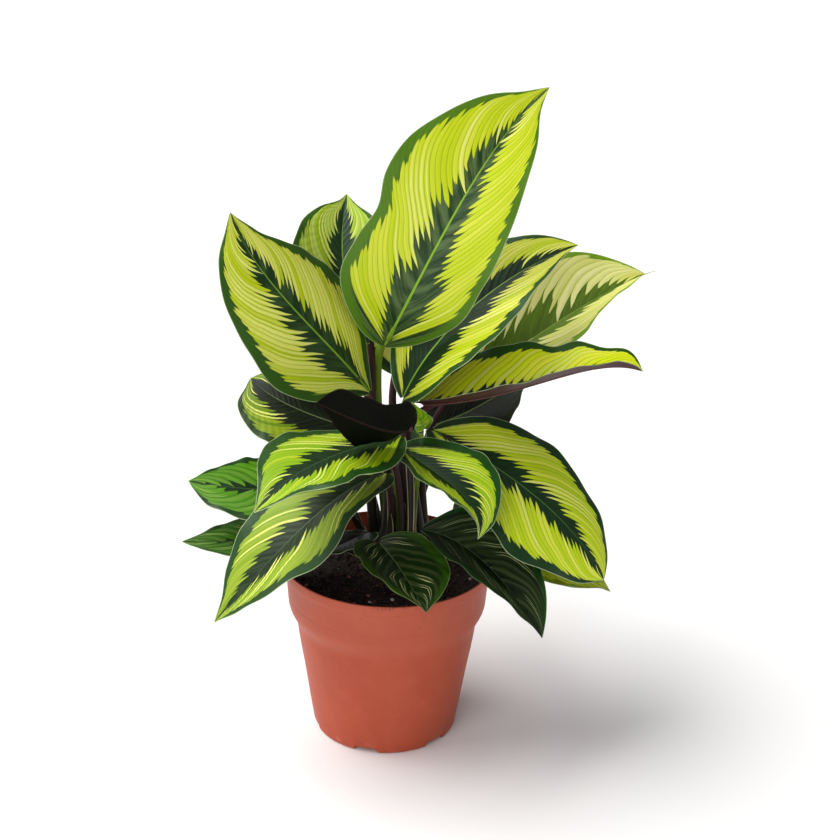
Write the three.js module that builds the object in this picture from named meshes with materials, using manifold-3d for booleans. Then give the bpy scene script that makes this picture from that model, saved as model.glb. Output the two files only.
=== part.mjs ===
// Potted calathea: a thin-walled plastic nursery pot, its potting soil, the
// rhizome crown at soil level, and a leaf blade with its stalk for every leaf.
// Units are millimetres, +Z is up, the origin is the centre of the pot's foot,
// +X is to the viewer's right and +Y points to the back of the plant.
import * as THREE from 'three';
import * as BufferGeometryUtils from 'three/addons/utils/BufferGeometryUtils.js';
import Module from 'manifold-3d';

// ---- driving dimensions -------------------------------------------------
const POT_HEIGHT = 123;          // foot to rim
const RIM_RADIUS = 70.2;         // outer radius of the rim
const WALL = 1.5;                // pot wall
const FOOT_RADIUS = 48.5;        // outer radius at the foot
const FLOOR_RISE = 3.5;          // height of the drainage channel under the floor
const FLOOR = 1.8;               // floor thickness
const NOTCHES = 6;               // drainage notches round the foot
const NOTCH_TURN = -104;         // direction of the first notch, degrees from +X
const NOTCH_WIDTH = 17;
const DRAIN_HOLES = 6;
const DRAIN_RADIUS = 3;
const DRAIN_CIRCLE = 28;
const SOIL_TOP = 109.6;          // soil level near the crown
const SOIL_EDGE = 111.0;         // soil level against the wall
const GAP = 0.35;                // clearance between neighbouring pieces
const CROWN_CENTRE = [9, 6];
const CROWN_RADIUS = 28.5;
const CROWN_TOP = 112.6;
const BLADE_THICK = 0.8;         // thickness of a blade along its midrib
const BLADE_EDGE = 0.5;          // thickness at the margin
const BASE_FAN = 52;             // degrees the cross lines lean back at the blade's base
const TIP_FAN = 28;              // degrees they lean forward at its tip
const ROUND = 40;                // facets round the pot

const COLOURS = {
  pot: [0xb5563c, 0.62], soil: [0x1c120c, 0.95], crown: [0x3c3320, 0.8],
  lime: [0x9fb82a, 0.42], pale: [0xc9cf86, 0.45], dark: [0x24371c, 0.4],
  pinstripe: [0x4c7a26, 0.42], reversed: [0x3a1c2b, 0.55],
  green: [0x6a8a2c, 0.45], maroon: [0x4b2633, 0.45], darkStalk: [0x2c2a1c, 0.5],
};

// One row per leaf. midrib: five control points of a quartic Bezier curve from
// the blade's base to its tip. up: mean direction that the upper side faces.
// left and right: half-widths at eleven equal steps (the last is 0). fold: how
// far each half rises from the flat, in degrees, at base, middle and tip
// (left row, right row). droop: share of the half-width that the margin hangs.
// stalk: four control points of a cubic Bezier curve from crown to blade.
const LEAVES = [
  { name: 'top_large', kind: 'lime', stalkKind: 'green',
    midrib: [[-4.6,6.6,271.6],[15.0,-6.7,317.7],[36.0,-2.3,364.1],[59.8,19.8,406.9],[94.8,54.8,429.0]],
    up: [0.154,-0.9,0.408], twist: 0.116, left: [3.0,28.3,47.8,48.2,45.2,51.5,50.0,40.2,27.4,11.1],
    right: [3.0,22.1,36.6,38.7,38.9,37.2,34.0,28.1,20.9,8.6],
    fold: [[10,12,12],[11,14,16]], droop: [0.03,0.14],
    stalk: [[1.7,8.1,113.0],[-3.1,17.2,164.6],[-19.7,47.3,256.5],[-2.8,8.4,276.0]], stalkRadius: [3.0, 1.98] },
  { name: 'upper_left', kind: 'lime', stalkKind: 'maroon',
    midrib: [[-14.2,-2.2,242.9],[-39.7,-18.1,281.7],[-66.6,-28.1,310.5],[-89.0,-28.7,336.1],[-99.7,-17.2,363.6]],
    up: [0.161,-0.638,0.753], twist: -0.272, left: [3.0,17.6,35.4,44.9,46.2,42.5,38.1,32.0,21.7,8.8],
    right: [3.0,17.2,34.6,42.9,44.1,42.1,36.6,28.2,17.7,8.2],
    fold: [[-0,4,6],[-1,-3,-4]], droop: [0.11,0.14],
    stalk: [[-5.6,1.1,113.0],[3.6,-2.9,164.4],[-0.2,7.7,206.0],[-18.2,-1.5,245.5]], stalkRadius: [2.9, 1.91] },
  { name: 'upper_rear', kind: 'lime', stalkKind: 'maroon',
    midrib: [[-15.6,19.9,275.3],[-32.0,25.9,297.5],[-37.0,36.6,317.8],[-35.1,52.1,335.8],[-33.0,72.0,351.1]],
    up: [0.164,-0.755,0.635], twist: 0.016, left: [8.6,23.2,33.8,39.5,40.9,38.7,34.9,29.7,19.2,6.3],
    right: [8.4,23.2,33.9,40.0,41.8,40.2,35.6,28.7,19.7,8.2],
    fold: [[22,24,24],[13,14,16]], droop: [0.05,0.07],
    stalk: [[-4.8,14.5,113.0],[-21.0,12.7,170.7],[-7.9,26.4,257.9],[-17.8,22.7,275.7]], stalkRadius: [2.9, 1.91] },
  { name: 'upper_right', kind: 'lime', stalkKind: 'green',
    midrib: [[8.0,0.8,238.3],[21.3,1.4,272.9],[47.9,8.4,300.9],[80.0,21.7,322.4],[117.7,39.7,330.7]],
    up: [-0.33,-0.54,0.774], twist: -0.133, left: [3.0,18.9,32.9,41.1,44.1,42.8,38.1,31.3,23.2,13.7],
    right: [5.3,21.6,33.5,39.6,43.8,44.3,37.6,28.8,18.3,7.1],
    fold: [[11,15,16],[22,22,24]], droop: [0.07,0.06],
    stalk: [[10.8,1.6,113.0],[6.7,4.3,162.6],[-1.2,2.3,198.7],[11.2,2.7,240.2]], stalkRadius: [2.9, 1.91] },
  { name: 'far_right_pale', kind: 'pale', stalkKind: 'maroon',
    midrib: [[42.2,37.9,230.0],[78.8,46.2,253.0],[110.6,57.8,273.6],[139.2,70.8,289.6],[167.5,83.7,297.6]],
    up: [-0.272,-0.55,0.789], twist: 0.237, left: [8.2,23.4,34.6,41.2,43.8,43.1,39.9,34.4,24.5,12.1],
    right: [8.2,23.6,34.8,41.6,44.1,42.6,36.6,27.5,19.5,12.9],
    fold: [[20,24,27],[22,36,46]], droop: [-0.13,0.05],
    stalk: [[24.5,23.6,113.0],[23.3,22.9,159.7],[9.5,26.6,200.2],[45.9,40.4,229.9]], stalkRadius: [2.7, 1.78] },
  { name: 'right_level', kind: 'lime', stalkKind: 'maroon',
    midrib: [[21.1,-4.8,235.9],[61.8,-9.2,239.6],[98.2,-7.0,253.0],[130.8,0.2,270.7],[161.1,8.0,257.1]],
    up: [0.008,-0.466,0.885], twist: 0.02, left: [9.3,22.1,30.7,33.8,32.5,30.9,22.2,22.0,15.0,13.9],
    right: [8.9,21.7,30.7,34.0,34.5,33.5,29.2,23.7,17.2,10.2],
    fold: [[22,20,22],[64,58,66]], droop: [0.11,0.11],
    stalk: [[17.3,-0.4,113.0],[16.9,-0.4,160.6],[-8.3,-0.2,213.4],[24.7,-3.8,233.8]], stalkRadius: [2.8, 1.85] },
  { name: 'right_shaded', kind: 'dark', stalkKind: 'maroon',
    midrib: [[29.7,38.9,203.2],[48.0,43.2,207.5],[65.1,50.7,215.5],[82.8,60.5,225.4],[102.6,71.5,234.3]],
    up: [-0.019,-0.399,0.917], twist: 0.666, left: [6.4,17.9,26.3,31.0,32.2,30.3,25.9,19.9,13.1,5.7],
    right: [6.3,18.0,26.5,31.6,33.1,30.9,24.5,15.5,10.4,5.1],
    fold: [[12,12,12],[13,18,28]], droop: [0.08,0.06],
    stalk: [[18.8,21.3,113.0],[18.4,21.7,148.9],[8.7,35.0,183.4],[31.2,41.0,201.7]], stalkRadius: [2.4, 1.58] },
  { name: 'right_drooping', kind: 'lime', stalkKind: 'maroon',
    midrib: [[28.8,-4.7,217.0],[66.0,-16.7,201.6],[99.0,-24.5,182.8],[124.9,-30.0,159.3],[140.8,-35.0,128.4]],
    up: [0.344,-0.453,0.822], twist: -0.196, left: [3.0,23.0,38.5,43.6,46.9,44.5,39.2,33.5,24.9,14.1],
    right: [6.8,23.8,35.8,42.4,45.3,48.0,45.6,36.7,27.5,17.2],
    fold: [[10,3,2],[14,3,-9]], droop: [0.11,0.12],
    stalk: [[24.0,-0.0,113.0],[23.4,0.1,153.4],[1.7,4.8,207.7],[31.0,-4.7,213.3]], stalkRadius: [2.8, 1.85] },
  { name: 'right_low_rear', kind: 'lime', stalkKind: 'maroon',
    midrib: [[79.0,7.7,152.4],[95.7,-1.0,142.6],[112.8,-7.3,132.2],[130.4,-11.4,121.0],[148.3,-13.8,108.2]],
    up: [0.205,-0.586,0.784], twist: 0.015, left: [4.3,12.4,18.3,21.8,22.9,21.9,19.2,15.0,9.9,4.2],
    right: [4.2,12.3,18.3,22.0,23.5,22.9,19.8,15.0,9.1,2.9],
    fold: [[12,12,12],[3,2,4]], droop: [0.08,0.12],
    stalk: [[31.0,6.7,113.0],[32.9,7.3,130.2],[61.0,15.8,147.8],[79.9,8.3,149.8]], stalkRadius: [2.0, 1.32] },
  { name: 'centre_right', kind: 'lime', stalkKind: 'green',
    midrib: [[9.6,-26.7,212.6],[28.2,-44.2,206.3],[47.1,-57.8,200.4],[61.9,-68.2,191.8],[56.5,-77.3,176.6]],
    up: [0.63,-0.543,0.555], twist: 0.157, left: [7.0,19.3,27.1,30.5,33.9,32.6,28.5,21.1,13.5,5.5],
    right: [5.6,17.5,26.6,33.3,33.8,32.0,28.6,21.4,12.1,3.3],
    fold: [[22,18,15],[29,27,29]], droop: [0.06,0.03],
    stalk: [[9.8,-10.8,113.0],[14.6,-5.8,152.4],[-6.1,-6.2,202.7],[10.7,-27.6,209.7]], stalkRadius: [2.4, 1.58] },
  { name: 'low_right_dark', kind: 'dark', stalkKind: 'dark',
    midrib: [[23.9,-22.6,154.5],[45.8,-32.7,156.5],[65.1,-46.4,146.6],[83.5,-61.2,129.6],[99.9,-75.6,107.0]],
    up: [0.324,-0.421,0.847], twist: 0.168, left: [3.0,12.0,24.4,31.3,33.7,32.8,29.6,24.4,18.1,9.6],
    right: [3.0,9.6,21.9,31.0,32.9,32.3,29.3,23.2,15.0,6.3],
    fold: [[24,22,21],[28,29,34]], droop: [-0.04,0.04],
    stalk: [[18.5,-9.4,113.0],[18.3,-10.3,130.8],[16.6,-16.8,146.9],[26.2,-22.6,152.3]], stalkRadius: [2.4, 1.58] },
  { name: 'front_dark', kind: 'dark', stalkKind: 'dark',
    midrib: [[-5.1,-28.0,146.8],[3.0,-44.3,146.8],[11.0,-59.7,142.8],[18.8,-73.8,136.6],[26.1,-86.7,129.1]],
    up: [0.205,-0.285,0.936], twist: 0.277, left: [6.0,18.4,25.3,28.4,29.5,30.3,29.8,25.4,17.2,7.4],
    right: [7.3,18.4,26.1,28.7,29.5,29.5,27.6,21.8,13.5,4.9],
    fold: [[20,14,12],[21,21,23]], droop: [0.03,0.03],
    stalk: [[1.1,-11.9,113.0],[-0.1,-13.1,127.7],[-6.7,-19.6,140.1],[-4.3,-29.2,144.3]], stalkRadius: [2.3, 1.52] },
  { name: 'low_left_dark', kind: 'dark', stalkKind: 'dark',
    midrib: [[-13.7,8.4,136.1],[-21.7,-7.6,139.9],[-29.3,-22.4,143.0],[-36.9,-35.7,145.1],[-44.7,-47.5,146.3]],
    up: [-0.227,-0.354,0.907], twist: 0.035, left: [3.9,10.1,14.6,17.2,17.9,17.1,15.1,12.2,8.6,4.1],
    right: [4.4,10.3,14.5,17.0,17.9,17.2,15.2,12.2,8.4,4.2],
    fold: [[15,14,11],[12,9,10]], droop: [0.07,0.08],
    stalk: [[-3.9,6.5,113.0],[-4.6,8.6,124.7],[-10.2,11.7,131.5],[-14.4,6.7,134.4]], stalkRadius: [1.7, 1.12] },
  { name: 'centre_left', kind: 'lime', stalkKind: 'maroon',
    midrib: [[6.5,-28.5,223.2],[-21.9,-50.5,224.7],[-45.7,-70.5,224.3],[-64.7,-89.4,219.6],[-78.4,-108.4,205.6]],
    up: [-0.168,-0.434,0.885], twist: 0.082, left: [3.2,17.6,28.8,34.8,29.4,33.2,33.8,22.9,16.6,9.3],
    right: [4.9,18.4,28.2,34.8,37.5,37.3,34.3,25.9,14.0,5.6],
    fold: [[6,17,25],[-18,5,14]], droop: [0.07,0.1],
    stalk: [[5.3,-16.3,113.0],[13.9,-11.4,142.3],[6.4,-10.4,193.6],[-1.2,-33.8,220.9]], stalkRadius: [2.7, 1.78] },
  { name: 'left_drooping', kind: 'lime', stalkKind: 'maroon',
    midrib: [[-4.0,-21.1,193.4],[-31.1,-45.9,195.7],[-57.3,-63.4,170.8],[-84.3,-69.9,140.3],[-108.7,-66.8,106.8]],
    up: [-0.274,-0.578,0.769], twist: 0.039, left: [5.4,20.4,26.1,27.4,40.1,45.9,32.8,27.7,18.3,8.7],
    right: [7.0,21.5,31.8,37.7,39.6,37.8,33.7,29.3,20.5,7.7],
    fold: [[23,28,27],[6,7,10]], droop: [0.03,0.1],
    stalk: [[-0.6,-6.1,113.0],[-0.2,-6.2,145.0],[8.7,-7.7,177.4],[-6.9,-22.6,190.9]], stalkRadius: [2.7, 1.78] },
  { name: 'left_small_upper', kind: 'pinstripe', stalkKind: 'maroon',
    midrib: [[-38.1,8.4,166.6],[-64.1,-5.0,171.4],[-88.2,-13.3,175.2],[-110.2,-15.8,178.3],[-130.0,-13.0,180.8]],
    up: [-0.234,-0.482,0.845], twist: 0.076, left: [6.4,17.2,25.0,29.3,30.5,29.1,26.5,21.1,16.1,7.6],
    right: [6.4,17.3,25.1,29.4,30.4,28.8,25.4,20.3,13.9,7.0],
    fold: [[13,11,8],[3,1,1]], droop: [0.08,0.12],
    stalk: [[-14.6,8.1,113.0],[-15.5,20.8,133.2],[-26.9,15.1,153.4],[-40.8,7.9,164.8]], stalkRadius: [2.2, 1.45] },
  { name: 'left_small_lower', kind: 'pinstripe', stalkKind: 'maroon',
    midrib: [[-40.7,1.4,134.3],[-63.8,-11.5,139.5],[-86.8,-21.5,142.7],[-109.9,-28.0,144.5],[-133.1,-30.6,145.7]],
    up: [-0.251,-0.325,0.912], twist: -0.004, left: [4.9,13.6,19.8,23.4,24.4,23.2,20.3,16.2,11.8,6.2],
    right: [4.9,13.6,19.8,23.4,24.5,23.3,20.4,16.0,10.6,4.9],
    fold: [[15,15,12],[10,9,8]], droop: [0.07,0.09],
    stalk: [[-13.1,2.6,113.0],[-16.0,2.8,125.6],[-32.6,3.9,127.1],[-43.1,0.6,132.5]], stalkRadius: [2.1, 1.39] },
  { name: 'left_middle', kind: 'lime', stalkKind: 'maroon',
    midrib: [[-22.8,5.7,212.2],[-48.9,-0.7,222.7],[-69.5,-1.5,230.8],[-83.5,4.5,237.3],[-91.6,16.6,241.9]],
    up: [-0.22,-0.584,0.782], twist: 0.048, left: [7.1,19.5,28.5,33.5,35.1,33.9,31.5,26.6,19.7,7.5],
    right: [7.0,19.5,28.6,33.9,35.7,34.5,30.7,24.8,17.0,8.1],
    fold: [[17,17,14],[12,11,11]], droop: [0.06,0.08],
    stalk: [[-9.1,6.5,113.0],[-10.8,-5.0,147.9],[33.6,37.5,167.0],[-25.9,6.6,211.2]], stalkRadius: [2.4, 1.58] },
  { name: 'centre_reversed', kind: 'reversed', stalkKind: 'maroon',
    midrib: [[14.5,-49.2,238.0],[6.2,-57.7,236.5],[-4.2,-67.2,241.9],[-19.9,-77.0,253.7],[-42.9,-87.4,269.1]],
    up: [0.056,0.882,0.468], twist: -0.256, left: [3.0,11.7,18.9,23.0,24.1,21.5,17.7,17.2,16.2,14.8],
    right: [3.5,12.4,19.2,23.5,25.2,23.6,19.8,14.7,9.5,4.2],
    fold: [[27,18,21],[17,3,3]], droop: [0.0,0.1],
    stalk: [[11.5,-16.8,113.0],[20.1,-20.7,160.8],[7.0,8.2,243.3],[12.3,-48.7,239.5]], stalkRadius: [2.4, 1.58] },
  { name: 'back_left', kind: 'lime', stalkKind: 'maroon',
    midrib: [[-38.0,46.0,226.0],[-49.7,64.6,244.5],[-65.1,89.4,254.7],[-81.4,115.5,252.4],[-95.2,137.6,240.2]],
    up: [0.069,-0.111,0.991], twist: 0.0, left: [7.3,20.3,29.7,35.2,36.9,35.3,31.1,24.9,17.2,8.6],
    right: [7.0,19.7,28.8,34.1,35.8,34.2,30.2,24.1,16.7,8.4],
    fold: [[12,12,12],[14,14,14]], droop: [0.09,0.09],
    stalk: [[-5.7,22.6,113.0],[-6.2,22.8,157.3],[-27.6,30.1,192.7],[-39.8,48.9,225.5]], stalkRadius: [2.5, 1.65] },
  { name: 'back_right', kind: 'lime', stalkKind: 'maroon',
    midrib: [[38.0,58.0,194.0],[47.4,75.7,210.9],[59.9,99.2,220.2],[73.1,124.1,218.1],[84.3,145.1,207.0]],
    up: [-0.061,-0.115,0.991], twist: 0.0, left: [6.8,19.1,27.9,33.1,34.6,33.2,29.2,23.4,16.1,8.1],
    right: [6.6,18.5,27.1,32.1,33.6,32.2,28.3,22.7,15.7,7.9],
    fold: [[12,12,12],[14,14,14]], droop: [0.09,0.09],
    stalk: [[19.4,27.3,113.0],[12.9,27.9,145.5],[29.4,46.0,169.0],[39.5,60.9,193.3]], stalkRadius: [2.5, 1.65] },
  { name: 'back_upright', kind: 'lime', stalkKind: 'maroon',
    midrib: [[5.0,49.0,240.0],[4.2,58.2,268.5],[2.4,78.7,293.6],[-0.1,107.6,307.9],[-2.7,137.3,310.5]],
    up: [0.054,-0.62,0.783], twist: 0.0, left: [7.5,20.9,30.6,36.3,38.0,36.4,32.0,25.6,17.7,8.9],
    right: [7.3,20.3,29.7,35.2,36.8,35.3,31.1,24.8,17.2,8.6],
    fold: [[12,12,12],[14,14,14]], droop: [0.09,0.09],
    stalk: [[9.9,27.5,113.0],[13.2,26.7,176.2],[-9.2,44.5,214.2],[4.7,52.4,241.4]], stalkRadius: [2.8, 1.85] },
  { name: 'back_low', kind: 'dark', stalkKind: 'maroon',
    midrib: [[-0.0,44.0,160.0],[-4.8,66.6,172.3],[-10.8,94.9,174.4],[-16.3,120.8,162.6],[-20.0,137.9,143.1]],
    up: [-0.036,0.17,0.985], twist: 0.0, left: [6.4,17.8,26.1,30.9,32.4,31.0,27.3,21.8,15.1,7.6],
    right: [6.2,17.3,25.3,30.0,31.4,30.1,26.5,21.2,14.6,7.4],
    fold: [[12,12,12],[14,14,14]], droop: [0.09,0.09],
    stalk: [[3.7,26.2,113.0],[3.5,27.1,132.8],[1.7,36.2,146.4],[-0.6,47.0,158.7]], stalkRadius: [2.4, 1.58] },
  { name: 'back_low_right', kind: 'dark', stalkKind: 'maroon',
    midrib: [[48.0,42.0,136.0],[64.1,52.1,143.7],[82.9,63.8,143.9],[100.1,74.5,135.1],[112.3,82.2,120.6]],
    up: [0.169,0.106,0.98], twist: 0.0, left: [4.6,12.9,18.9,22.4,23.5,22.5,19.8,15.8,10.9,5.5],
    right: [4.5,12.5,18.4,21.7,22.8,21.8,19.2,15.3,10.6,5.3],
    fold: [[12,12,12],[14,14,14]], droop: [0.09,0.09],
    stalk: [[27.4,18.2,113.0],[29.2,20.5,126.0],[41.1,36.0,127.0],[50.1,43.3,134.2]], stalkRadius: [2.4, 1.58] },
  { name: 'back_low_left', kind: 'pinstripe', stalkKind: 'maroon',
    midrib: [[-26.0,36.0,150.0],[-43.9,45.5,160.8],[-66.1,57.3,163.0],[-86.7,68.3,153.6],[-101.0,75.9,137.3]],
    up: [-0.131,0.069,0.989], twist: 0.0, left: [5.5,15.4,22.5,26.7,27.9,26.7,23.6,18.8,13.0,6.5],
    right: [5.3,14.9,21.9,25.9,27.1,25.9,22.8,18.3,12.6,6.3],
    fold: [[12,12,12],[14,14,14]], droop: [0.09,0.09],
    stalk: [[-9.9,18.3,113.0],[-15.2,18.7,127.8],[-20.9,31.3,132.4],[-28.5,37.3,148.6]], stalkRadius: [2.4, 1.58] },
  { name: 'young_rolled', kind: 'lime', stalkKind: 'green',
    midrib: [[21.6,-17.0,223.6],[19.6,-21.4,229.6],[17.6,-25.5,235.5],[15.6,-28.0,241.4],[13.6,-30.0,247.4]],
    up: [0.206,-0.928,0.309], twist: 0.2, left: [2.6,4.9,7.2,8.5,8.9,8.6,7.5,6.0,4.2,2.1],
    right: [2.6,4.9,7.2,8.5,8.9,8.6,7.5,6.0,4.2,2.1],
    fold: [[26,55,55],[23,50,50]], droop: [0.05,0.05],
    stalk: [[14.7,-5.8,113.0],[14.7,-5.8,157.0],[20.7,-3.9,191.4],[20.1,-15.9,224.7]], stalkRadius: [1.8, 1.19] },
];

// ---- curves -------------------------------------------------------------
const V = (a) => new THREE.Vector3(...a);
const bernstein = (n, i, u) => {
  let c = 1;
  for (let k = 0; k < i; k++) c = (c * (n - k)) / (k + 1);
  return c * u ** i * (1 - u) ** (n - i);
};
const bezier = (pts, u) => {
  const out = new THREE.Vector3();
  pts.forEach((p, i) => out.addScaledVector(V(p), bernstein(pts.length - 1, i, u)));
  return out;
};
const bezierSlope = (pts, u) => {
  const n = pts.length - 1, out = new THREE.Vector3();
  for (let i = 0; i < n; i++) out.addScaledVector(V(pts[i + 1]).sub(V(pts[i])), n * bernstein(n - 1, i, u));
  return out.normalize();
};
// Catmull-Rom interpolation of equally spaced values
const spline = (k, u) => {
  const n = k.length, t = u * (n - 1), i = Math.min(Math.floor(t), n - 2), f = t - i;
  const a = i > 0 ? k[i - 1] : 2 * k[0] - k[1], b = k[i], c = k[i + 1];
  const d = i < n - 2 ? k[i + 2] : 2 * k[n - 1] - k[n - 2];
  return a * (-0.5 * f + f * f - 0.5 * f ** 3) + b * (1 - 2.5 * f * f + 1.5 * f ** 3)
    + c * (0.5 * f + 2 * f * f - 1.5 * f ** 3) + d * (-0.5 * f * f + 0.5 * f ** 3);
};
const rad = THREE.MathUtils.degToRad;

// A point of the blade: u from base (0) to tip (1), v from the left margin (-1)
// over the midrib (0) to the right margin (1).
function bladePoint(leaf, u, v) {
  const M = bezier(leaf.midrib, u), T = bezierSlope(leaf.midrib, u);
  const up = V(leaf.up).normalize();
  const N0 = up.addScaledVector(T, -up.dot(T)).normalize();
  const S0 = new THREE.Vector3().crossVectors(T, N0);
  const roll = leaf.twist * (u - 0.5), c = Math.cos(roll), s = Math.sin(roll);
  const N = N0.clone().multiplyScalar(c).addScaledVector(S0, -s);
  const S = S0.clone().multiplyScalar(c).addScaledVector(N0, s);
  const side = v < 0 ? -1 : 1, a = Math.abs(v), row = v < 0 ? 0 : 1;
  const w = spline([...(v < 0 ? leaf.left : leaf.right), 0], u);
  const phi = rad([0, 1, 2].reduce((t, i) => t + leaf.fold[row][i] * bernstein(2, i, u), 0));
  let fan = 0;
  if (u < 0.3) fan = rad(BASE_FAN) * (1 - u / 0.3) ** 2;
  if (u > 0.55) fan = -rad(TIP_FAN) * ((u - 0.55) / 0.45) ** 2;
  return M
    .addScaledVector(S, a * w * Math.cos(fan) * Math.cos(phi) * side)
    .addScaledVector(N, a * w * Math.cos(fan) * Math.sin(phi) - w * leaf.droop[row] * a * a)
    .addScaledVector(T, -a * w * Math.sin(fan));
}

// ---- closed solids ------------------------------------------------------
function solid(positions, index) {
  const g = new THREE.BufferGeometry();
  g.setAttribute('position', new THREE.Float32BufferAttribute(positions, 3));
  g.setIndex(index);
  g.computeVertexNormals();
  return g;
}

const U_STEPS = [0, 0.06, 0.15, 0.27, 0.4, 0.53, 0.66, 0.79, 0.89, 0.96];
const V_STEPS = [-1, -0.5, 0, 0.5, 1];

function bladeSolid(leaf) {
  const nu = U_STEPS.length, nv = V_STEPS.length, P = [], I = [];
  const normal = (u, v) => {
    const e = 0.004, u0 = Math.max(u - e, 0), u1 = Math.min(u + e, 1);
    const v0 = v > 0.5 ? v - 2 * e : v, v1 = v > 0.5 ? v : v + 2 * e;
    const w0 = v === 0 ? -2 * e : v0, w1 = v === 0 ? 2 * e : v1;
    const du = bladePoint(leaf, u1, v).sub(bladePoint(leaf, u0, v));
    const dv = bladePoint(leaf, u, w1).sub(bladePoint(leaf, u, w0));
    return dv.cross(du).normalize();
  };
  const put = (p) => { P.push(p.x, p.y, p.z); return P.length / 3 - 1; };
  const top = [], low = [];
  for (let i = 0; i < nu; i++) {
    top.push([]); low.push([]);
    for (let j = 0; j < nv; j++) {
      const u = U_STEPS[i], v = V_STEPS[j], p = bladePoint(leaf, u, v), n = normal(u, v);
      const h = (BLADE_THICK + (BLADE_EDGE - BLADE_THICK) * Math.abs(v)) / 2;
      top[i].push(put(p.clone().addScaledVector(n, h)));
      low[i].push(put(p.clone().addScaledVector(n, -h)));
    }
  }
  const tip = bladePoint(leaf, 1, 0), nt = normal(0.96, 0);
  const tipTop = put(tip.clone().addScaledVector(nt, BLADE_EDGE / 2));
  const tipLow = put(tip.clone().addScaledVector(nt, -BLADE_EDGE / 2));
  const quad = (a, b, c, d) => I.push(a, b, c, a, c, d);
  for (let i = 0; i < nu - 1; i++) for (let j = 0; j < nv - 1; j++) {
    quad(top[i][j], top[i][j + 1], top[i + 1][j + 1], top[i + 1][j]);
    quad(low[i][j], low[i + 1][j], low[i + 1][j + 1], low[i][j + 1]);
  }
  for (let j = 0; j < nv - 1; j++) {
    I.push(top[nu - 1][j], top[nu - 1][j + 1], tipTop);
    I.push(low[nu - 1][j], tipLow, low[nu - 1][j + 1]);
    quad(low[0][j], low[0][j + 1], top[0][j + 1], top[0][j]);
  }
  for (let i = 0; i < nu - 1; i++) {
    quad(low[i + 1][0], low[i][0], top[i][0], top[i + 1][0]);
    quad(low[i][nv - 1], low[i + 1][nv - 1], top[i + 1][nv - 1], top[i][nv - 1]);
  }
  quad(tipLow, low[nu - 1][0], top[nu - 1][0], tipTop);
  quad(low[nu - 1][nv - 1], tipLow, tipTop, top[nu - 1][nv - 1]);
  return solid(P, I);
}

// A round tapering stalk swept along its Bezier curve with parallel frames.
function stalkSolid(leaf) {
  const steps = 8, sides = 6, P = [], I = [], rings = [];
  let T = bezierSlope(leaf.stalk, 0), A = new THREE.Vector3(1, 0, 0);
  A.addScaledVector(T, -A.dot(T)).normalize();
  for (let i = 0; i <= steps; i++) {
    const t = i / steps, c = bezier(leaf.stalk, t);
    T = bezierSlope(leaf.stalk, t);
    A.addScaledVector(T, -A.dot(T)).normalize();
    const B = new THREE.Vector3().crossVectors(T, A);
    const r = leaf.stalkRadius[0] + (leaf.stalkRadius[1] - leaf.stalkRadius[0]) * Math.min(t / 0.8, 1);
    rings.push([]);
    for (let k = 0; k < sides; k++) {
      const a = (2 * Math.PI * k) / sides;
      const p = c.clone().addScaledVector(A, r * Math.cos(a)).addScaledVector(B, r * Math.sin(a));
      if (i === 0) p.z = c.z;   // the stalk stands on a level foot
      P.push(p.x, p.y, p.z);
      rings[i].push(P.length / 3 - 1);
    }
  }
  for (let i = 0; i < steps; i++) for (let k = 0; k < sides; k++) {
    const m = (k + 1) % sides;
    I.push(rings[i][k], rings[i][m], rings[i + 1][m], rings[i][k], rings[i + 1][m], rings[i + 1][k]);
  }
  for (let k = 1; k < sides - 1; k++) {
    I.push(rings[0][0], rings[0][k + 1], rings[0][k]);
    I.push(rings[steps][0], rings[steps][k], rings[steps][k + 1]);
  }
  return solid(P, I);
}

// ---- pot, soil and crown ------------------------------------------------
const wasm = await Module();
wasm.setup();
function toManifold(geometry) {
  const g = geometry.clone();
  for (const name of Object.keys(g.attributes)) if (name !== 'position') g.deleteAttribute(name);
  const m = BufferGeometryUtils.mergeVertices(g, 1e-4);
  return new wasm.Manifold(new wasm.Mesh({
    numProp: 3,
    vertProperties: new Float32Array(m.attributes.position.array),
    triVerts: new Uint32Array(m.index.array),
  }));
}
function fromManifold(manifold) {
  const mesh = manifold.getMesh();
  return solid(Array.from(mesh.vertProperties), Array.from(mesh.triVerts));
}
// LatheGeometry turns about +Y; this stands the result up on +Z.
function lathe(profile, facets) {
  const g = new THREE.LatheGeometry(profile.map(([r, z]) => new THREE.Vector2(r, z)), facets);
  g.rotateX(Math.PI / 2);
  return g;
}

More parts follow.
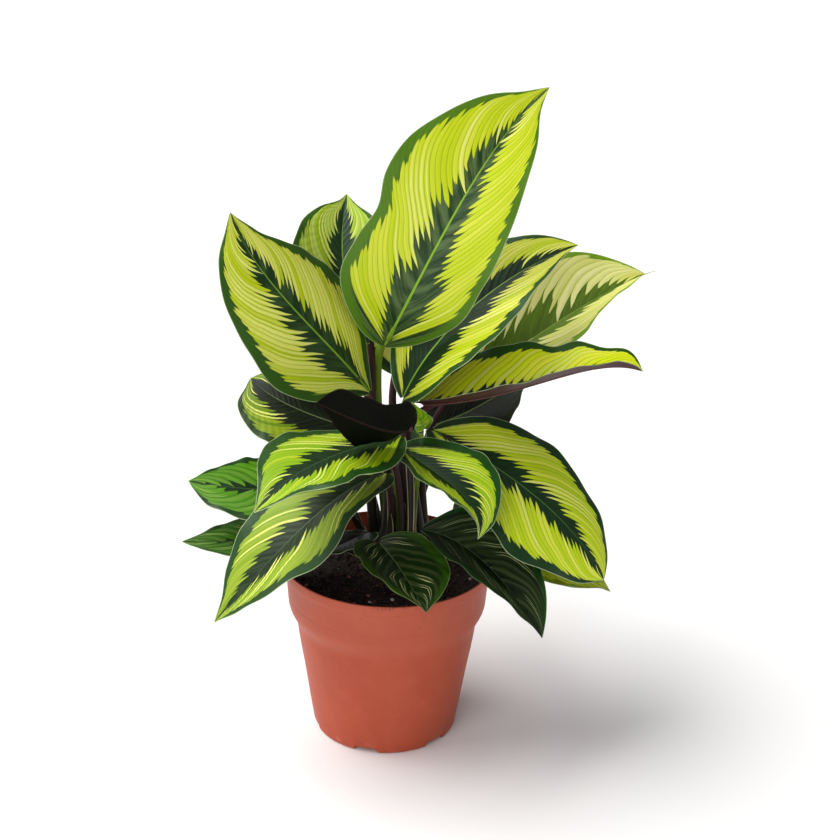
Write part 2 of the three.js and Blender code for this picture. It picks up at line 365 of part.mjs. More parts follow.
const COLLAR = [ // outer radius against height, from the foot to the rim
  [FOOT_RADIUS, 1.2], [59.4, 70], [60.2, 77], [61.6, 81.5], [64.4, 87], [65.9, 91.5],
  [66.5, 99], [67.2, 107], [68.3, 114.5], [69.6, 119.5], [RIM_RADIUS, 122.0],
];
function potSolid() {
  const outer = COLLAR.map(([r, z]) => [r, z]);
  const inner = COLLAR.slice(1, -1).map(([r, z]) => [r - WALL, z]).reverse();
  const profile = [
    [0, 0], [15, 0], [17, FLOOR_RISE], [38, FLOOR_RISE], [40, 0], [FOOT_RADIUS - 1.2, 0],
    ...outer,
    [RIM_RADIUS - 0.5, POT_HEIGHT], [RIM_RADIUS - 1.5, POT_HEIGHT], ...inner,
    [FOOT_RADIUS - WALL, FLOOR + 0.8], [FOOT_RADIUS - WALL - 0.8, FLOOR], [41, FLOOR],
    [38.8, FLOOR_RISE + FLOOR], [16.4, FLOOR_RISE + FLOOR], [14.4, FLOOR], [0, FLOOR],
  ];
  let pot = toManifold(lathe(profile, ROUND));
  for (let i = 0; i < NOTCHES; i++) {
    const h = NOTCH_WIDTH / 2, shape = new THREE.Shape();
    shape.moveTo(-h, -1); shape.lineTo(h, -1); shape.lineTo(h - 2.2, FLOOR_RISE - 0.1); shape.lineTo(-h + 2.2, FLOOR_RISE - 0.1);
    const g = new THREE.ExtrudeGeometry(shape, { depth: 14, bevelEnabled: false });
    g.rotateX(Math.PI / 2); g.rotateZ(Math.PI / 2);   // width along Y, depth along +X
    g.translate(38.5, 0, 0);
    g.rotateZ(rad(NOTCH_TURN + (360 / NOTCHES) * i));
    pot = pot.subtract(toManifold(g));
  }
  for (let i = 0; i < DRAIN_HOLES; i++) {
    const g = new THREE.CylinderGeometry(DRAIN_RADIUS, DRAIN_RADIUS, 12, 10);
    g.rotateX(Math.PI / 2);
    g.translate(DRAIN_CIRCLE, 0, FLOOR_RISE);
    g.rotateZ(rad(NOTCH_TURN + 30 + (360 / DRAIN_HOLES) * i));
    pot = pot.subtract(toManifold(g));
  }
  return fromManifold(pot);
}

function soilSolid() {
  const side = COLLAR.slice(1, -1).filter(([, z]) => z < SOIL_EDGE - 2).map(([r, z]) => [r - WALL - GAP, z]);
  return lathe([
    [0, FLOOR_RISE + FLOOR + GAP], [FOOT_RADIUS - WALL - GAP, FLOOR_RISE + FLOOR + GAP],
    ...side, [67.5 - WALL - GAP, SOIL_EDGE], [56, SOIL_EDGE - 0.6], [40, SOIL_TOP + 0.2], [CROWN_RADIUS, SOIL_TOP], [0, SOIL_TOP],
  ], 32);
}

function crownSolid() {
  const z = SOIL_TOP + GAP;
  const g = lathe([[0, z], [CROWN_RADIUS - 1.2, z], [CROWN_RADIUS, z + 1], [CROWN_RADIUS - 0.8, CROWN_TOP], [0, CROWN_TOP]], 24);
  g.translate(CROWN_CENTRE[0], CROWN_CENTRE[1], 0);
  return g;
}

// ---- the scene graph ----------------------------------------------------
const object = new THREE.Group();
object.name = 'potted_calathea';
function add(parent, name, geometry, colour) {
  const [hex, roughness] = COLOURS[colour];
  const mesh = new THREE.Mesh(geometry, new THREE.MeshStandardMaterial({ color: hex, roughness, metalness: 0 }));
  mesh.name = name;
  parent.add(mesh);
}
const holder = new THREE.Group();
object.add(holder);
add(holder, 'pot', potSolid(), 'pot');
add(holder, 'potting_soil', soilSolid(), 'soil');
const plant = new THREE.Group();
object.add(plant);
add(plant, 'rhizome_crown', crownSolid(), 'crown');
for (const leaf of LEAVES) {
  add(plant, `blade_${leaf.name}`, bladeSolid(leaf), leaf.kind);
  add(plant, `stalk_${leaf.name}`, stalkSolid(leaf), leaf.stalkKind === 'dark' ? 'darkStalk' : leaf.stalkKind);
}

export default object;
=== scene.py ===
# Looks of the potted calathea: fine leaf blades with their markings, stalks with
# their sheaths, the nursery pot, the potting soil and the crown, built around the
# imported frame. Leaf and stalk curves are the frame's own, in millimetres.
import math
import bpy
import numpy as np
from mathutils import Matrix, Vector, noise


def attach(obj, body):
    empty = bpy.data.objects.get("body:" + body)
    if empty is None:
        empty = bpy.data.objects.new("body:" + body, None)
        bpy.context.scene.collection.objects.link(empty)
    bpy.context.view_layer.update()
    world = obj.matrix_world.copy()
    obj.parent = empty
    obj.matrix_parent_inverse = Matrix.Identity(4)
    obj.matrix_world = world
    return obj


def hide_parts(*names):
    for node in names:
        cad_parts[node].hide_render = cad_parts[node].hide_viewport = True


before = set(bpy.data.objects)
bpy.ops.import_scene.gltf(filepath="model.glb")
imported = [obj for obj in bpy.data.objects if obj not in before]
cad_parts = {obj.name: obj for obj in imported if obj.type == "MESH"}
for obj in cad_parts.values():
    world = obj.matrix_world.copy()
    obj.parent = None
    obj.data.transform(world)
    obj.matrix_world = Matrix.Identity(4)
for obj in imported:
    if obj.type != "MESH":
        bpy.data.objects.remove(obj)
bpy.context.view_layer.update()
MM = 0.001
rng = np.random.RandomState(11)

# name: (midrib 5x3, up, twist, left widths, right widths, fold 2x3 rad, droop, stalk 4x3, r0, r1)
LEAVES = {
 "top_large": ([[-4.57,6.57,271.61],[15.04,-6.73,317.67],[36.03,-2.25,364.08],[59.82,19.83,406.93],[94.77,54.78,428.99]], [0.154,-0.9,0.408], 0.116, [3.0,28.26,47.84,48.22,45.24,51.53,50.02,40.18,27.43,11.06], [3.0,22.09,36.55,38.71,38.88,37.25,34.04,28.12,20.91,8.63], [[0.169,0.207,0.209],[0.188,0.245,0.286]], [0.032,0.142], [[1.68,8.08,113.0],[-3.08,17.24,164.58],[-19.67,47.32,256.51],[-2.8,8.38,276.02]], 3.0, 1.98),
 "upper_left": ([[-14.15,-2.2,242.94],[-39.67,-18.1,281.69],[-66.63,-28.1,310.51],[-89.01,-28.67,336.05],[-99.72,-17.18,363.58]], [0.161,-0.638,0.753], -0.272, [3.0,17.59,35.4,44.92,46.15,42.49,38.1,31.99,21.68,8.77], [3.0,17.2,34.59,42.87,44.08,42.06,36.59,28.23,17.74,8.21], [[-0.006,0.077,0.1],[-0.013,-0.052,-0.07]], [0.112,0.138], [[-5.62,1.08,113.0],[3.57,-2.93,164.44],[-0.17,7.66,205.96],[-18.23,-1.51,245.47]], 2.9, 1.91),
 "upper_rear": ([[-15.6,19.88,275.27],[-31.97,25.86,297.46],[-36.99,36.6,317.78],[-35.09,52.13,335.8],[-33.03,71.98,351.07]], [0.164,-0.755,0.635], 0.016, [8.56,23.25,33.75,39.53,40.89,38.72,34.85,29.71,19.19,6.28], [8.44,23.21,33.86,39.97,41.84,40.15,35.61,28.69,19.65,8.2], [[0.382,0.425,0.417],[0.234,0.252,0.276]], [0.054,0.068], [[-4.85,14.46,113.0],[-20.96,12.7,170.7],[-7.9,26.38,257.93],[-17.8,22.74,275.73]], 2.9, 1.91),
 "upper_right": ([[8.0,0.76,238.27],[21.28,1.43,272.88],[47.93,8.45,300.95],[80.03,21.66,322.36],[117.66,39.66,330.71]], [-0.33,-0.54,0.774], -0.133, [3.0,18.88,32.92,41.13,44.14,42.8,38.1,31.25,23.24,13.68], [5.34,21.57,33.51,39.58,43.78,44.32,37.6,28.82,18.27,7.08], [[0.187,0.257,0.285],[0.386,0.38,0.414]], [0.068,0.055], [[10.81,1.63,113.0],[6.72,4.33,162.6],[-1.17,2.34,198.67],[11.15,2.65,240.2]], 2.9, 1.91),
 "far_right_pale": ([[42.22,37.89,230.02],[78.84,46.24,252.96],[110.58,57.76,273.63],[139.21,70.78,289.62],[167.49,83.7,297.62]], [-0.272,-0.55,0.789], 0.237, [8.18,23.44,34.59,41.24,43.82,43.12,39.91,34.44,24.52,12.06], [8.15,23.55,34.85,41.62,44.06,42.58,36.63,27.55,19.46,12.9], [[0.349,0.418,0.477],[0.388,0.636,0.798]], [-0.133,0.049], [[24.51,23.64,113.0],[23.28,22.87,159.74],[9.47,26.56,200.19],[45.92,40.36,229.94]], 2.7, 1.78),
 "right_level": ([[21.15,-4.79,235.93],[61.76,-9.2,239.56],[98.16,-6.96,252.95],[130.77,0.21,270.65],[161.13,8.0,257.14]], [0.008,-0.466,0.885], 0.02, [9.28,22.05,30.7,33.81,32.45,30.9,22.15,21.96,15.02,13.89], [8.91,21.7,30.69,33.99,34.5,33.49,29.23,23.67,17.15,10.16], [[0.38,0.355,0.378],[1.126,1.011,1.152]], [0.112,0.108], [[17.3,-0.41,113.0],[16.86,-0.41,160.57],[-8.29,-0.17,213.41],[24.75,-3.82,233.8]], 2.8, 1.85),
 "right_shaded": ([[29.69,38.88,203.17],[48.0,43.18,207.48],[65.15,50.69,215.52],[82.75,60.46,225.38],[102.59,71.55,234.32]], [-0.019,-0.399,0.917], 0.666, [6.44,17.94,26.28,31.01,32.21,30.3,25.93,19.93,13.06,5.68], [6.33,17.99,26.55,31.58,33.06,30.87,24.54,15.45,10.38,5.14], [[0.209,0.209,0.209],[0.219,0.322,0.487]], [0.08,0.06], [[18.77,21.25,113.0],[18.43,21.68,148.87],[8.73,34.97,183.39],[31.17,40.97,201.69]], 2.4, 1.58),
 "right_drooping": ([[28.76,-4.71,217.02],[65.98,-16.74,201.63],[99.02,-24.48,182.84],[124.94,-30.04,159.35],[140.76,-35.02,128.35]], [0.344,-0.453,0.822], -0.196, [3.0,22.96,38.55,43.56,46.9,44.52,39.23,33.53,24.93,14.07], [6.76,23.76,35.79,42.44,45.29,48.0,45.59,36.68,27.46,17.23], [[0.179,0.058,0.035],[0.25,0.058,-0.152]], [0.111,0.119], [[23.99,-0.02,113.0],[23.44,0.1,153.44],[1.69,4.83,207.66],[30.98,-4.73,213.25]], 2.8, 1.85),
 "right_low_rear": ([[78.95,7.67,152.37],[95.72,-1.01,142.62],[112.84,-7.34,132.18],[130.42,-11.45,120.96],[148.26,-13.77,108.24]], [0.205,-0.586,0.784], 0.015, [4.28,12.36,18.27,21.76,22.9,21.94,19.19,15.03,9.88,4.17], [4.2,12.33,18.34,22.04,23.54,22.94,19.79,15.02,9.11,2.94], [[0.209,0.209,0.209],[0.048,0.027,0.065]], [0.08,0.115], [[30.99,6.71,113.0],[32.94,7.27,130.23],[61.02,15.78,147.82],[79.91,8.28,149.77]], 2.0, 1.32),
 "centre_right": ([[9.56,-26.68,212.64],[28.16,-44.21,206.25],[47.05,-57.83,200.41],[61.95,-68.18,191.79],[56.48,-77.31,176.6]], [0.63,-0.543,0.555], 0.157, [6.99,19.25,27.09,30.49,33.86,32.64,28.51,21.07,13.53,5.53], [5.58,17.5,26.62,33.33,33.79,31.97,28.62,21.36,12.11,3.3], [[0.382,0.317,0.268],[0.512,0.463,0.51]], [0.063,0.035], [[9.79,-10.82,113.0],[14.62,-5.82,152.4],[-6.15,-6.19,202.72],[10.65,-27.6,209.67]], 2.4, 1.58),
 "low_right_dark": ([[23.94,-22.58,154.54],[45.78,-32.71,156.47],[65.08,-46.42,146.59],[83.46,-61.23,129.55],[99.93,-75.58,107.02]], [0.324,-0.421,0.847], 0.168, [3.0,11.95,24.41,31.27,33.7,32.83,29.57,24.44,18.07,9.56], [3.0,9.57,21.92,30.96,32.91,32.28,29.26,23.16,15.03,6.35], [[0.416,0.386,0.369],[0.496,0.512,0.593]], [-0.04,0.04], [[18.53,-9.41,113.0],[18.34,-10.29,130.82],[16.6,-16.78,146.87],[26.25,-22.62,152.32]], 2.4, 1.58),
 "front_dark": ([[-5.09,-27.99,146.8],[3.02,-44.25,146.78],[11.05,-59.66,142.76],[18.84,-73.84,136.63],[26.12,-86.68,129.09]], [0.205,-0.285,0.936], 0.277, [5.97,18.37,25.3,28.43,29.51,30.32,29.83,25.35,17.18,7.4], [7.31,18.43,26.07,28.68,29.47,29.52,27.58,21.84,13.51,4.88], [[0.344,0.244,0.203],[0.37,0.363,0.394]], [0.034,0.032], [[1.08,-11.95,113.0],[-0.05,-13.12,127.72],[-6.67,-19.65,140.1],[-4.27,-29.2,144.33]], 2.3, 1.52),
 "low_left_dark": ([[-13.71,8.42,136.08],[-21.72,-7.6,139.9],[-29.31,-22.41,142.96],[-36.9,-35.72,145.14],[-44.69,-47.46,146.27]], [-0.227,-0.354,0.907], 0.035, [3.92,10.13,14.61,17.17,17.93,17.14,15.11,12.24,8.6,4.12], [4.4,10.32,14.48,17.04,17.88,17.18,15.18,12.19,8.45,4.25], [[0.259,0.249,0.197],[0.206,0.152,0.168]], [0.075,0.081], [[-3.9,6.51,113.0],[-4.6,8.63,124.65],[-10.18,11.74,131.52],[-14.4,6.69,134.36]], 1.7, 1.12),
 "centre_left": ([[6.51,-28.53,223.23],[-21.93,-50.55,224.65],[-45.73,-70.51,224.31],[-64.66,-89.44,219.6],[-78.37,-108.42,205.64]], [-0.168,-0.434,0.885], 0.082, [3.19,17.62,28.8,34.76,29.38,33.19,33.84,22.89,16.65,9.26], [4.94,18.37,28.2,34.76,37.5,37.3,34.34,25.94,13.98,5.57], [[0.103,0.305,0.434],[-0.309,0.085,0.237]], [0.068,0.098], [[5.32,-16.33,113.0],[13.93,-11.39,142.27],[6.36,-10.4,193.62],[-1.22,-33.76,220.9]], 2.7, 1.78),
 "left_drooping": ([[-4.03,-21.13,193.44],[-31.14,-45.9,195.66],[-57.29,-63.43,170.79],[-84.29,-69.92,140.31],[-108.75,-66.77,106.83]], [-0.274,-0.578,0.769], 0.039, [5.37,20.36,26.13,27.42,40.1,45.85,32.82,27.69,18.28,8.74], [6.96,21.54,31.84,37.74,39.61,37.76,33.73,29.31,20.5,7.74], [[0.409,0.491,0.464],[0.113,0.122,0.179]], [0.031,0.104], [[-0.57,-6.07,113.0],[-0.22,-6.16,145.05],[8.74,-7.75,177.39],[-6.86,-22.6,190.95]], 2.7, 1.78),
 "left_small_upper": ([[-38.06,8.39,166.62],[-64.07,-5.05,171.38],[-88.22,-13.3,175.17],[-110.2,-15.81,178.35],[-130.03,-12.99,180.81]], [-0.234,-0.482,0.845], 0.076, [6.36,17.23,25.01,29.35,30.5,29.14,26.5,21.14,16.05,7.6], [6.37,17.26,25.06,29.37,30.41,28.81,25.43,20.26,13.95,6.96], [[0.23,0.198,0.133],[0.05,0.013,0.015]], [0.085,0.124], [[-14.57,8.13,113.0],[-15.46,20.79,133.24],[-26.86,15.1,153.39],[-40.84,7.92,164.78]], 2.2, 1.45),
 "left_small_lower": ([[-40.67,1.43,134.32],[-63.8,-11.47,139.49],[-86.79,-21.47,142.66],[-109.85,-27.99,144.51],[-133.06,-30.63,145.71]], [-0.251,-0.325,0.912], -0.004, [4.9,13.56,19.82,23.38,24.38,23.17,20.26,16.22,11.78,6.17], [4.89,13.56,19.83,23.42,24.47,23.31,20.38,16.03,10.56,4.88], [[0.253,0.255,0.214],[0.179,0.162,0.143]], [0.074,0.094], [[-13.08,2.59,113.0],[-16.05,2.77,125.61],[-32.65,3.92,127.08],[-43.12,0.59,132.48]], 2.1, 1.39),
 "left_middle": ([[-22.79,5.69,212.16],[-48.91,-0.75,222.7],[-69.49,-1.47,230.84],[-83.49,4.46,237.26],[-91.6,16.64,241.88]], [-0.22,-0.584,0.782], 0.048, [7.07,19.52,28.46,33.53,35.07,33.92,31.47,26.6,19.73,7.53], [7.0,19.55,28.64,33.94,35.7,34.45,30.7,24.78,17.05,8.08], [[0.298,0.294,0.245],[0.204,0.201,0.198]], [0.057,0.082], [[-9.1,6.53,113.0],[-10.75,-5.02,147.89],[33.62,37.46,167.04],[-25.95,6.57,211.17]], 2.4, 1.58),
 "centre_reversed": ([[14.53,-49.19,237.99],[6.2,-57.67,236.49],[-4.21,-67.19,241.94],[-19.95,-76.96,253.73],[-42.88,-87.44,269.08]], [0.056,0.882,0.468], -0.256, [3.0,11.7,18.85,23.02,24.13,21.45,17.74,17.17,16.25,14.75], [3.48,12.43,19.15,23.53,25.18,23.63,19.78,14.68,9.54,4.21], [[0.471,0.315,0.364],[0.305,0.049,0.056]], [0.005,0.101], [[11.5,-16.76,113.0],[20.13,-20.74,160.78],[7.02,8.2,243.31],[12.34,-48.67,239.52]], 2.4, 1.58),
 "back_left": ([[-38.0,46.0,226.0],[-49.65,64.64,244.47],[-65.11,89.39,254.66],[-81.44,115.53,252.37],[-95.23,137.58,240.22]], [0.069,-0.111,0.991], 0.0, [7.26,20.29,29.74,35.19,36.87,35.29,31.09,24.86,17.18,8.63], [7.04,19.68,28.84,34.14,35.76,34.23,30.15,24.12,16.67,8.37], [[0.209,0.209,0.209],[0.251,0.251,0.251]], [0.09,0.09], [[-5.74,22.64,113.0],[-6.15,22.79,157.31],[-27.62,30.14,192.67],[-39.83,48.93,225.47]], 2.5, 1.65),
 "back_right": ([[38.0,58.0,194.0],[47.42,75.72,210.87],[59.93,99.25,220.17],[73.14,124.09,218.08],[84.29,145.06,206.98]], [-0.061,-0.115,0.991], 0.0, [6.82,19.06,27.93,33.06,34.63,33.15,29.2,23.36,16.14,8.11], [6.62,18.49,27.1,32.07,33.59,32.16,28.33,22.66,15.66,7.87], [[0.209,0.209,0.209],[0.251,0.251,0.251]], [0.09,0.09], [[19.38,27.3,113.0],[12.92,27.88,145.52],[29.45,46.01,169.0],[39.55,60.91,193.34]], 2.5, 1.65),
 "back_upright": ([[5.0,49.01,240.0],[4.2,58.2,268.5],[2.41,78.66,293.56],[-0.13,107.58,307.93],[-2.73,137.31,310.51]], [0.054,-0.62,0.783], 0.0, [7.48,20.91,30.64,36.26,37.98,36.36,32.03,25.62,17.7,8.89], [7.26,20.28,29.72,35.17,36.84,35.27,31.07,24.85,17.17,8.63], [[0.209,0.209,0.209],[0.251,0.251,0.251]], [0.09,0.09], [[9.87,27.48,113.0],[13.16,26.7,176.24],[-9.24,44.48,214.16],[4.7,52.42,241.41]], 2.8, 1.85),
 "back_low": ([[-0.0,44.01,160.0],[-4.8,66.6,172.33],[-10.82,94.89,174.39],[-16.32,120.77,162.56],[-19.96,137.88,143.08]], [-0.036,0.17,0.985], 0.0, [6.38,17.83,26.13,30.93,32.4,31.01,27.32,21.85,15.1,7.59], [6.19,17.3,25.35,30.0,31.43,30.08,26.5,21.19,14.65,7.36], [[0.209,0.209,0.209],[0.251,0.251,0.251]], [0.09,0.09], [[3.7,26.18,113.0],[3.52,27.1,132.77],[1.65,36.18,146.37],[-0.64,47.0,158.73]], 2.4, 1.58),
 "back_low_right": ([[48.0,42.0,136.0],[64.09,52.06,143.68],[82.87,63.79,143.94],[100.06,74.53,135.05],[112.32,82.19,120.57]], [0.169,0.106,0.98], 0.0, [4.62,12.91,18.92,22.39,23.46,22.46,19.78,15.82,10.93,5.49], [4.48,12.52,18.36,21.72,22.76,21.78,19.19,15.35,10.61,5.33], [[0.209,0.209,0.209],[0.251,0.251,0.251]], [0.09,0.09], [[27.44,18.18,113.0],[29.22,20.48,126.02],[41.13,36.04,126.97],[50.1,43.31,134.25]], 2.4, 1.58),
 "back_low_left": ([[-26.01,36.0,150.0],[-43.89,45.51,160.8],[-66.06,57.3,162.97],[-86.7,68.27,153.55],[-101.01,75.88,137.3]], [-0.131,0.069,0.989], 0.0, [5.5,15.37,22.53,26.66,27.93,26.73,23.55,18.84,13.02,6.54], [5.34,14.91,21.85,25.86,27.09,25.93,22.84,18.27,12.63,6.34], [[0.209,0.209,0.209],[0.251,0.251,0.251]], [0.09,0.09], [[-9.93,18.35,113.0],[-15.25,18.73,127.78],[-20.87,31.29,132.43],[-28.5,37.33,148.61]], 2.4, 1.58),
 "young_rolled": ([[21.6,-17.0,223.61],[19.6,-21.45,229.55],[17.6,-25.5,235.5],[15.6,-27.95,241.45],[13.59,-30.0,247.39]], [0.206,-0.928,0.309], 0.2, [2.6,4.92,7.21,8.53,8.94,8.56,7.54,6.03,4.17,2.09], [2.6,4.92,7.21,8.53,8.94,8.56,7.54,6.03,4.17,2.09], [[0.45,0.96,0.96],[0.4,0.873,0.873]], [0.05,0.05], [[14.66,-5.78,113.0],[14.67,-5.84,156.96],[20.71,-3.93,191.36],[20.06,-15.86,224.74]], 1.8, 1.19),
}


def srgb(r, g, b):
    f = lambda c: c / 12.92 if c <= 0.04045 else ((c + 0.055) / 1.055) ** 2.4
    return (f(r / 255), f(g / 255), f(b / 255), 1.0)


# ---------------------------------------------------------------- markings
# cells: lateral stripes along each half; b0,b1: half-width of the dark band at
# base and tip; out: where the stripes end; lime, lime2: stripe colours; cream:
# share of pale stripes; dark: the band; then the colour and share of the painted sheen, grey-green patches of
# painted reflection on the band; margin: outer green;
# fill: how much of the lime field shows; under: the underside
BASE = dict(cells=24, b0=0.46, b1=0.20, out=0.86, jag=0.16, spike=0.12, lime=srgb(186, 205, 12), lime2=srgb(206, 218, 60),
            vein=srgb(118, 150, 8), cream=0.30, creamc=srgb(230, 234, 140), dark=srgb(24, 52, 22), sheen_grey=srgb(70, 94, 62), sheen_share=0.5,
            margin=srgb(52, 92, 22), fill=1.0, rib=srgb(122, 164, 44), ribw=0.8, under=srgb(74, 38, 52), edge=srgb(168, 188, 140),
            line=0.0, start=-0.16, stop=0.90, rough=0.42, ang=34, uline=1.0, spec=0.34, paired=False)
LOOK = {
 "top_large": dict(cells=34, b0=0.44, b1=0.08, out=0.86, lime=srgb(196, 212, 14), lime2=srgb(214, 222, 72), dark=srgb(30, 58, 26), sheen_grey=srgb(96, 118, 80), sheen_share=0.85, margin=srgb(82, 122, 6), rib=srgb(134, 178, 34), ribw=1.0, start=-0.10),
 "upper_left": dict(cells=30, b0=0.34, b1=0.20, out=0.84, lime=srgb(188, 204, 26), lime2=srgb(226, 228, 118), cream=0.40, sheen_grey=srgb(64, 92, 60), sheen_share=0.6, margin=srgb(52, 88, 28)),
 "upper_rear": dict(cells=20, b0=0.42, b1=0.26, lime=srgb(160, 192, 44), lime2=srgb(196, 216, 110), cream=0.4, dark=srgb(34, 60, 40), sheen_grey=srgb(62, 92, 74), sheen_share=0.6, margin=srgb(60, 98, 32)),
 "upper_right": dict(cells=26, b0=0.46, b1=0.20, lime=srgb(184, 202, 22), lime2=srgb(214, 216, 96), dark=srgb(16, 46, 18), sheen_grey=srgb(28, 66, 30), sheen_share=0.5, margin=srgb(40, 74, 22)),
 "far_right_pale": dict(start=-0.3, cells=16, b0=0.42, b1=0.16, out=0.90, jag=0.20, spike=0.18, lime=srgb(206, 210, 116), lime2=srgb(222, 222, 158), vein=srgb(160, 168, 70), cream=0.35, creamc=srgb(228, 226, 176), dark=srgb(78, 104, 10), sheen_grey=srgb(104, 134, 40), sheen_share=0.5, margin=srgb(110, 150, 24), rib=srgb(128, 152, 52), edge=srgb(150, 170, 90)),
 "right_level": dict(cells=22, b0=0.24, b1=0.10, out=0.80, lime=srgb(226, 240, 18), lime2=srgb(236, 242, 70), cream=0.22, margin=srgb(44, 82, 26), start=-0.2),
 # painted shade: right_shaded's stripe, vein, ground and margin colours are all darkened to the tone of a leaf in
 # shade
 "right_shaded": dict(cells=20, b0=0.85, b1=0.7, lime=srgb(60, 78, 20), lime2=srgb(70, 90, 28), vein=srgb(28, 40, 10), cream=0.5, creamc=srgb(128, 148, 78), dark=srgb(26, 36, 12), sheen_grey=srgb(44, 58, 24), margin=srgb(38, 52, 16), line=1.0, fill=0.3, rib=srgb(96, 120, 50), edge=srgb(110, 130, 80)),
 "right_drooping": dict(cells=28, b0=0.28, b1=0.22, out=0.84, lime=srgb(188, 212, 14), lime2=srgb(216, 228, 80), dark=srgb(20, 48, 22), sheen_grey=srgb(30, 66, 40), sheen_share=0.6, margin=srgb(26, 58, 22), cream=0.34, rib=srgb(86, 130, 56), ribw=0.5),
 "right_low_rear": dict(cells=16, b0=0.2, b1=0.1, lime=srgb(150, 170, 30), lime2=srgb(180, 190, 60), margin=srgb(110, 130, 30)),
 "centre_right": dict(cells=22, b0=0.36, b1=0.24, out=0.80, lime=srgb(152, 192, 10), lime2=srgb(190, 210, 56), dark=srgb(20, 50, 26), sheen_grey=srgb(28, 62, 38), margin=srgb(36, 76, 22), cream=0.3, rib=srgb(70, 110, 50), ribw=0.4, vein=srgb(96, 140, 8)),
 "low_right_dark": dict(paired=True, spec=0.16, cells=13, b0=0.16, b1=0.10, out=0.86, lime=srgb(34, 48, 30), lime2=srgb(56, 72, 46), vein=srgb(20, 32, 16), cream=0.55, creamc=srgb(158, 172, 136), dark=srgb(20, 32, 16), sheen_grey=srgb(34, 48, 30), margin=srgb(34, 66, 24), line=1.0, fill=0.55, rib=srgb(76, 104, 60), ribw=0.5, edge=srgb(96, 116, 84)),
 "front_dark": dict(paired=True, ang=44, spec=0.2, cells=8, b0=0.12, b1=0.10, out=0.80, lime=srgb(38, 60, 18), lime2=srgb(44, 70, 22), vein=srgb(26, 42, 14), cream=0.85, creamc=srgb(206, 212, 160), dark=srgb(24, 42, 16), sheen_grey=srgb(34, 56, 24), margin=srgb(52, 84, 20), line=1.0, fill=0.5, rib=srgb(110, 140, 84), ribw=0.45, edge=srgb(130, 146, 90)),
 "low_left_dark": dict(spec=0.1, cells=12, b0=0.3, b1=0.2, out=0.8, lime=srgb(22, 44, 18), lime2=srgb(30, 56, 24), vein=srgb(14, 30, 10), cream=0.3, creamc=srgb(80, 100, 60), dark=srgb(14, 30, 12), sheen_grey=srgb(26, 46, 24), margin=srgb(24, 50, 18), line=1.0, fill=0.4, rib=srgb(60, 90, 50), ribw=0.4),
 "centre_left": dict(cells=24, b0=0.34, b1=0.24, out=0.78, lime=srgb(138, 178, 12), lime2=srgb(178, 200, 48), dark=srgb(20, 48, 24), sheen_grey=srgb(34, 62, 44), margin=srgb(44, 80, 40), cream=0.3, rib=srgb(60, 96, 56), ribw=0.4, vein=srgb(86, 134, 10)),
 "left_drooping": dict(cells=26, b0=0.34, b1=0.22, out=0.78, lime=srgb(122, 154, 18), lime2=srgb(150, 172, 62), dark=srgb(30, 46, 28), sheen_grey=srgb(58, 74, 54), sheen_share=0.6, margin=srgb(40, 70, 40), cream=0.34, rib=srgb(70, 92, 60), ribw=0.4),
 "left_small_upper": dict(paired=True, cells=10, b0=0.20, b1=0.14, out=0.84, lime=srgb(86, 146, 30), lime2=srgb(96, 160, 34), vein=srgb(40, 84, 26), cream=0.6, creamc=srgb(196, 212, 140), dark=srgb(24, 50, 28), sheen_grey=srgb(34, 64, 36), margin=srgb(38, 68, 38), line=0.7, fill=0.8, rib=srgb(70, 104, 60), ribw=0.4),
 "left_small_lower": dict(paired=True, cells=9, b0=0.14, b1=0.12, out=0.84, lime=srgb(60, 112, 34), lime2=srgb(76, 128, 36), vein=srgb(34, 66, 26), cream=0.6, creamc=srgb(186, 200, 140), dark=srgb(30, 52, 32), sheen_grey=srgb(40, 64, 40), margin=srgb(44, 72, 40), line=0.8, fill=0.7, rib=srgb(76, 104, 64), ribw=0.4),
 "left_middle": dict(cells=18, b0=0.50, b1=0.36, out=0.84, lime=srgb(100, 130, 12), lime2=srgb(140, 160, 40), dark=srgb(26, 34, 14), sheen_grey=srgb(44, 52, 26), margin=srgb(44, 66, 22), cream=0.4, rib=srgb(104, 122, 80), ribw=0.5),
 # painted shade: centre_reversed's underside, its lines and its edge are darkened to near black, the tone of an
 # underside in shadow
 "centre_reversed": dict(spec=0.05, under=srgb(12, 5, 2), uline=0.12, edge=srgb(30, 20, 14), lime=srgb(120, 150, 20), lime2=srgb(150, 180, 50)),
 "young_rolled": dict(cells=10, b0=0.05, b1=0.05, out=0.95, lime=srgb(120, 168, 16), lime2=srgb(170, 204, 50), vein=srgb(80, 120, 10), margin=srgb(96, 140, 20), under=srgb(130, 160, 40)),
}
def look(name, L):
    k = dict(BASE)
    k.update(LOOK.get(name, {}))
    long = float(np.linalg.norm(np.diff(bez(L[0], np.linspace(0, 1, 60)), axis=0), axis=1).sum())
    lean = max(max(L[3]), max(L[4])) / long / math.tan(math.radians(k["ang"]))
    k["fan"] = (0.58 * lean, 0.42 * lean)
    for c in ("dark", "sheen_grey", "margin", "under", "lime", "lime2", "vein", "creamc"):
        q = k[c]
        k[c] = (max(q[0] - 0.010, 0.002), max(q[1] - 0.010, 0.003), max(q[2] * 0.8 - 0.012, 0.0015), 1.0)
    return k


for _n in ("back_low", "back_low_right"):
    LOOK[_n] = dict(LOOK["front_dark"], cells=16)
LOOK["back_low_left"] = dict(LOOK["left_small_upper"])
LOOK["back_left"] = dict(LOOK["centre_left"], cells=22)
LOOK["back_right"] = dict(LOOK["right_drooping"], cells=22)
LOOK["back_upright"] = dict(LOOK["upper_left"])


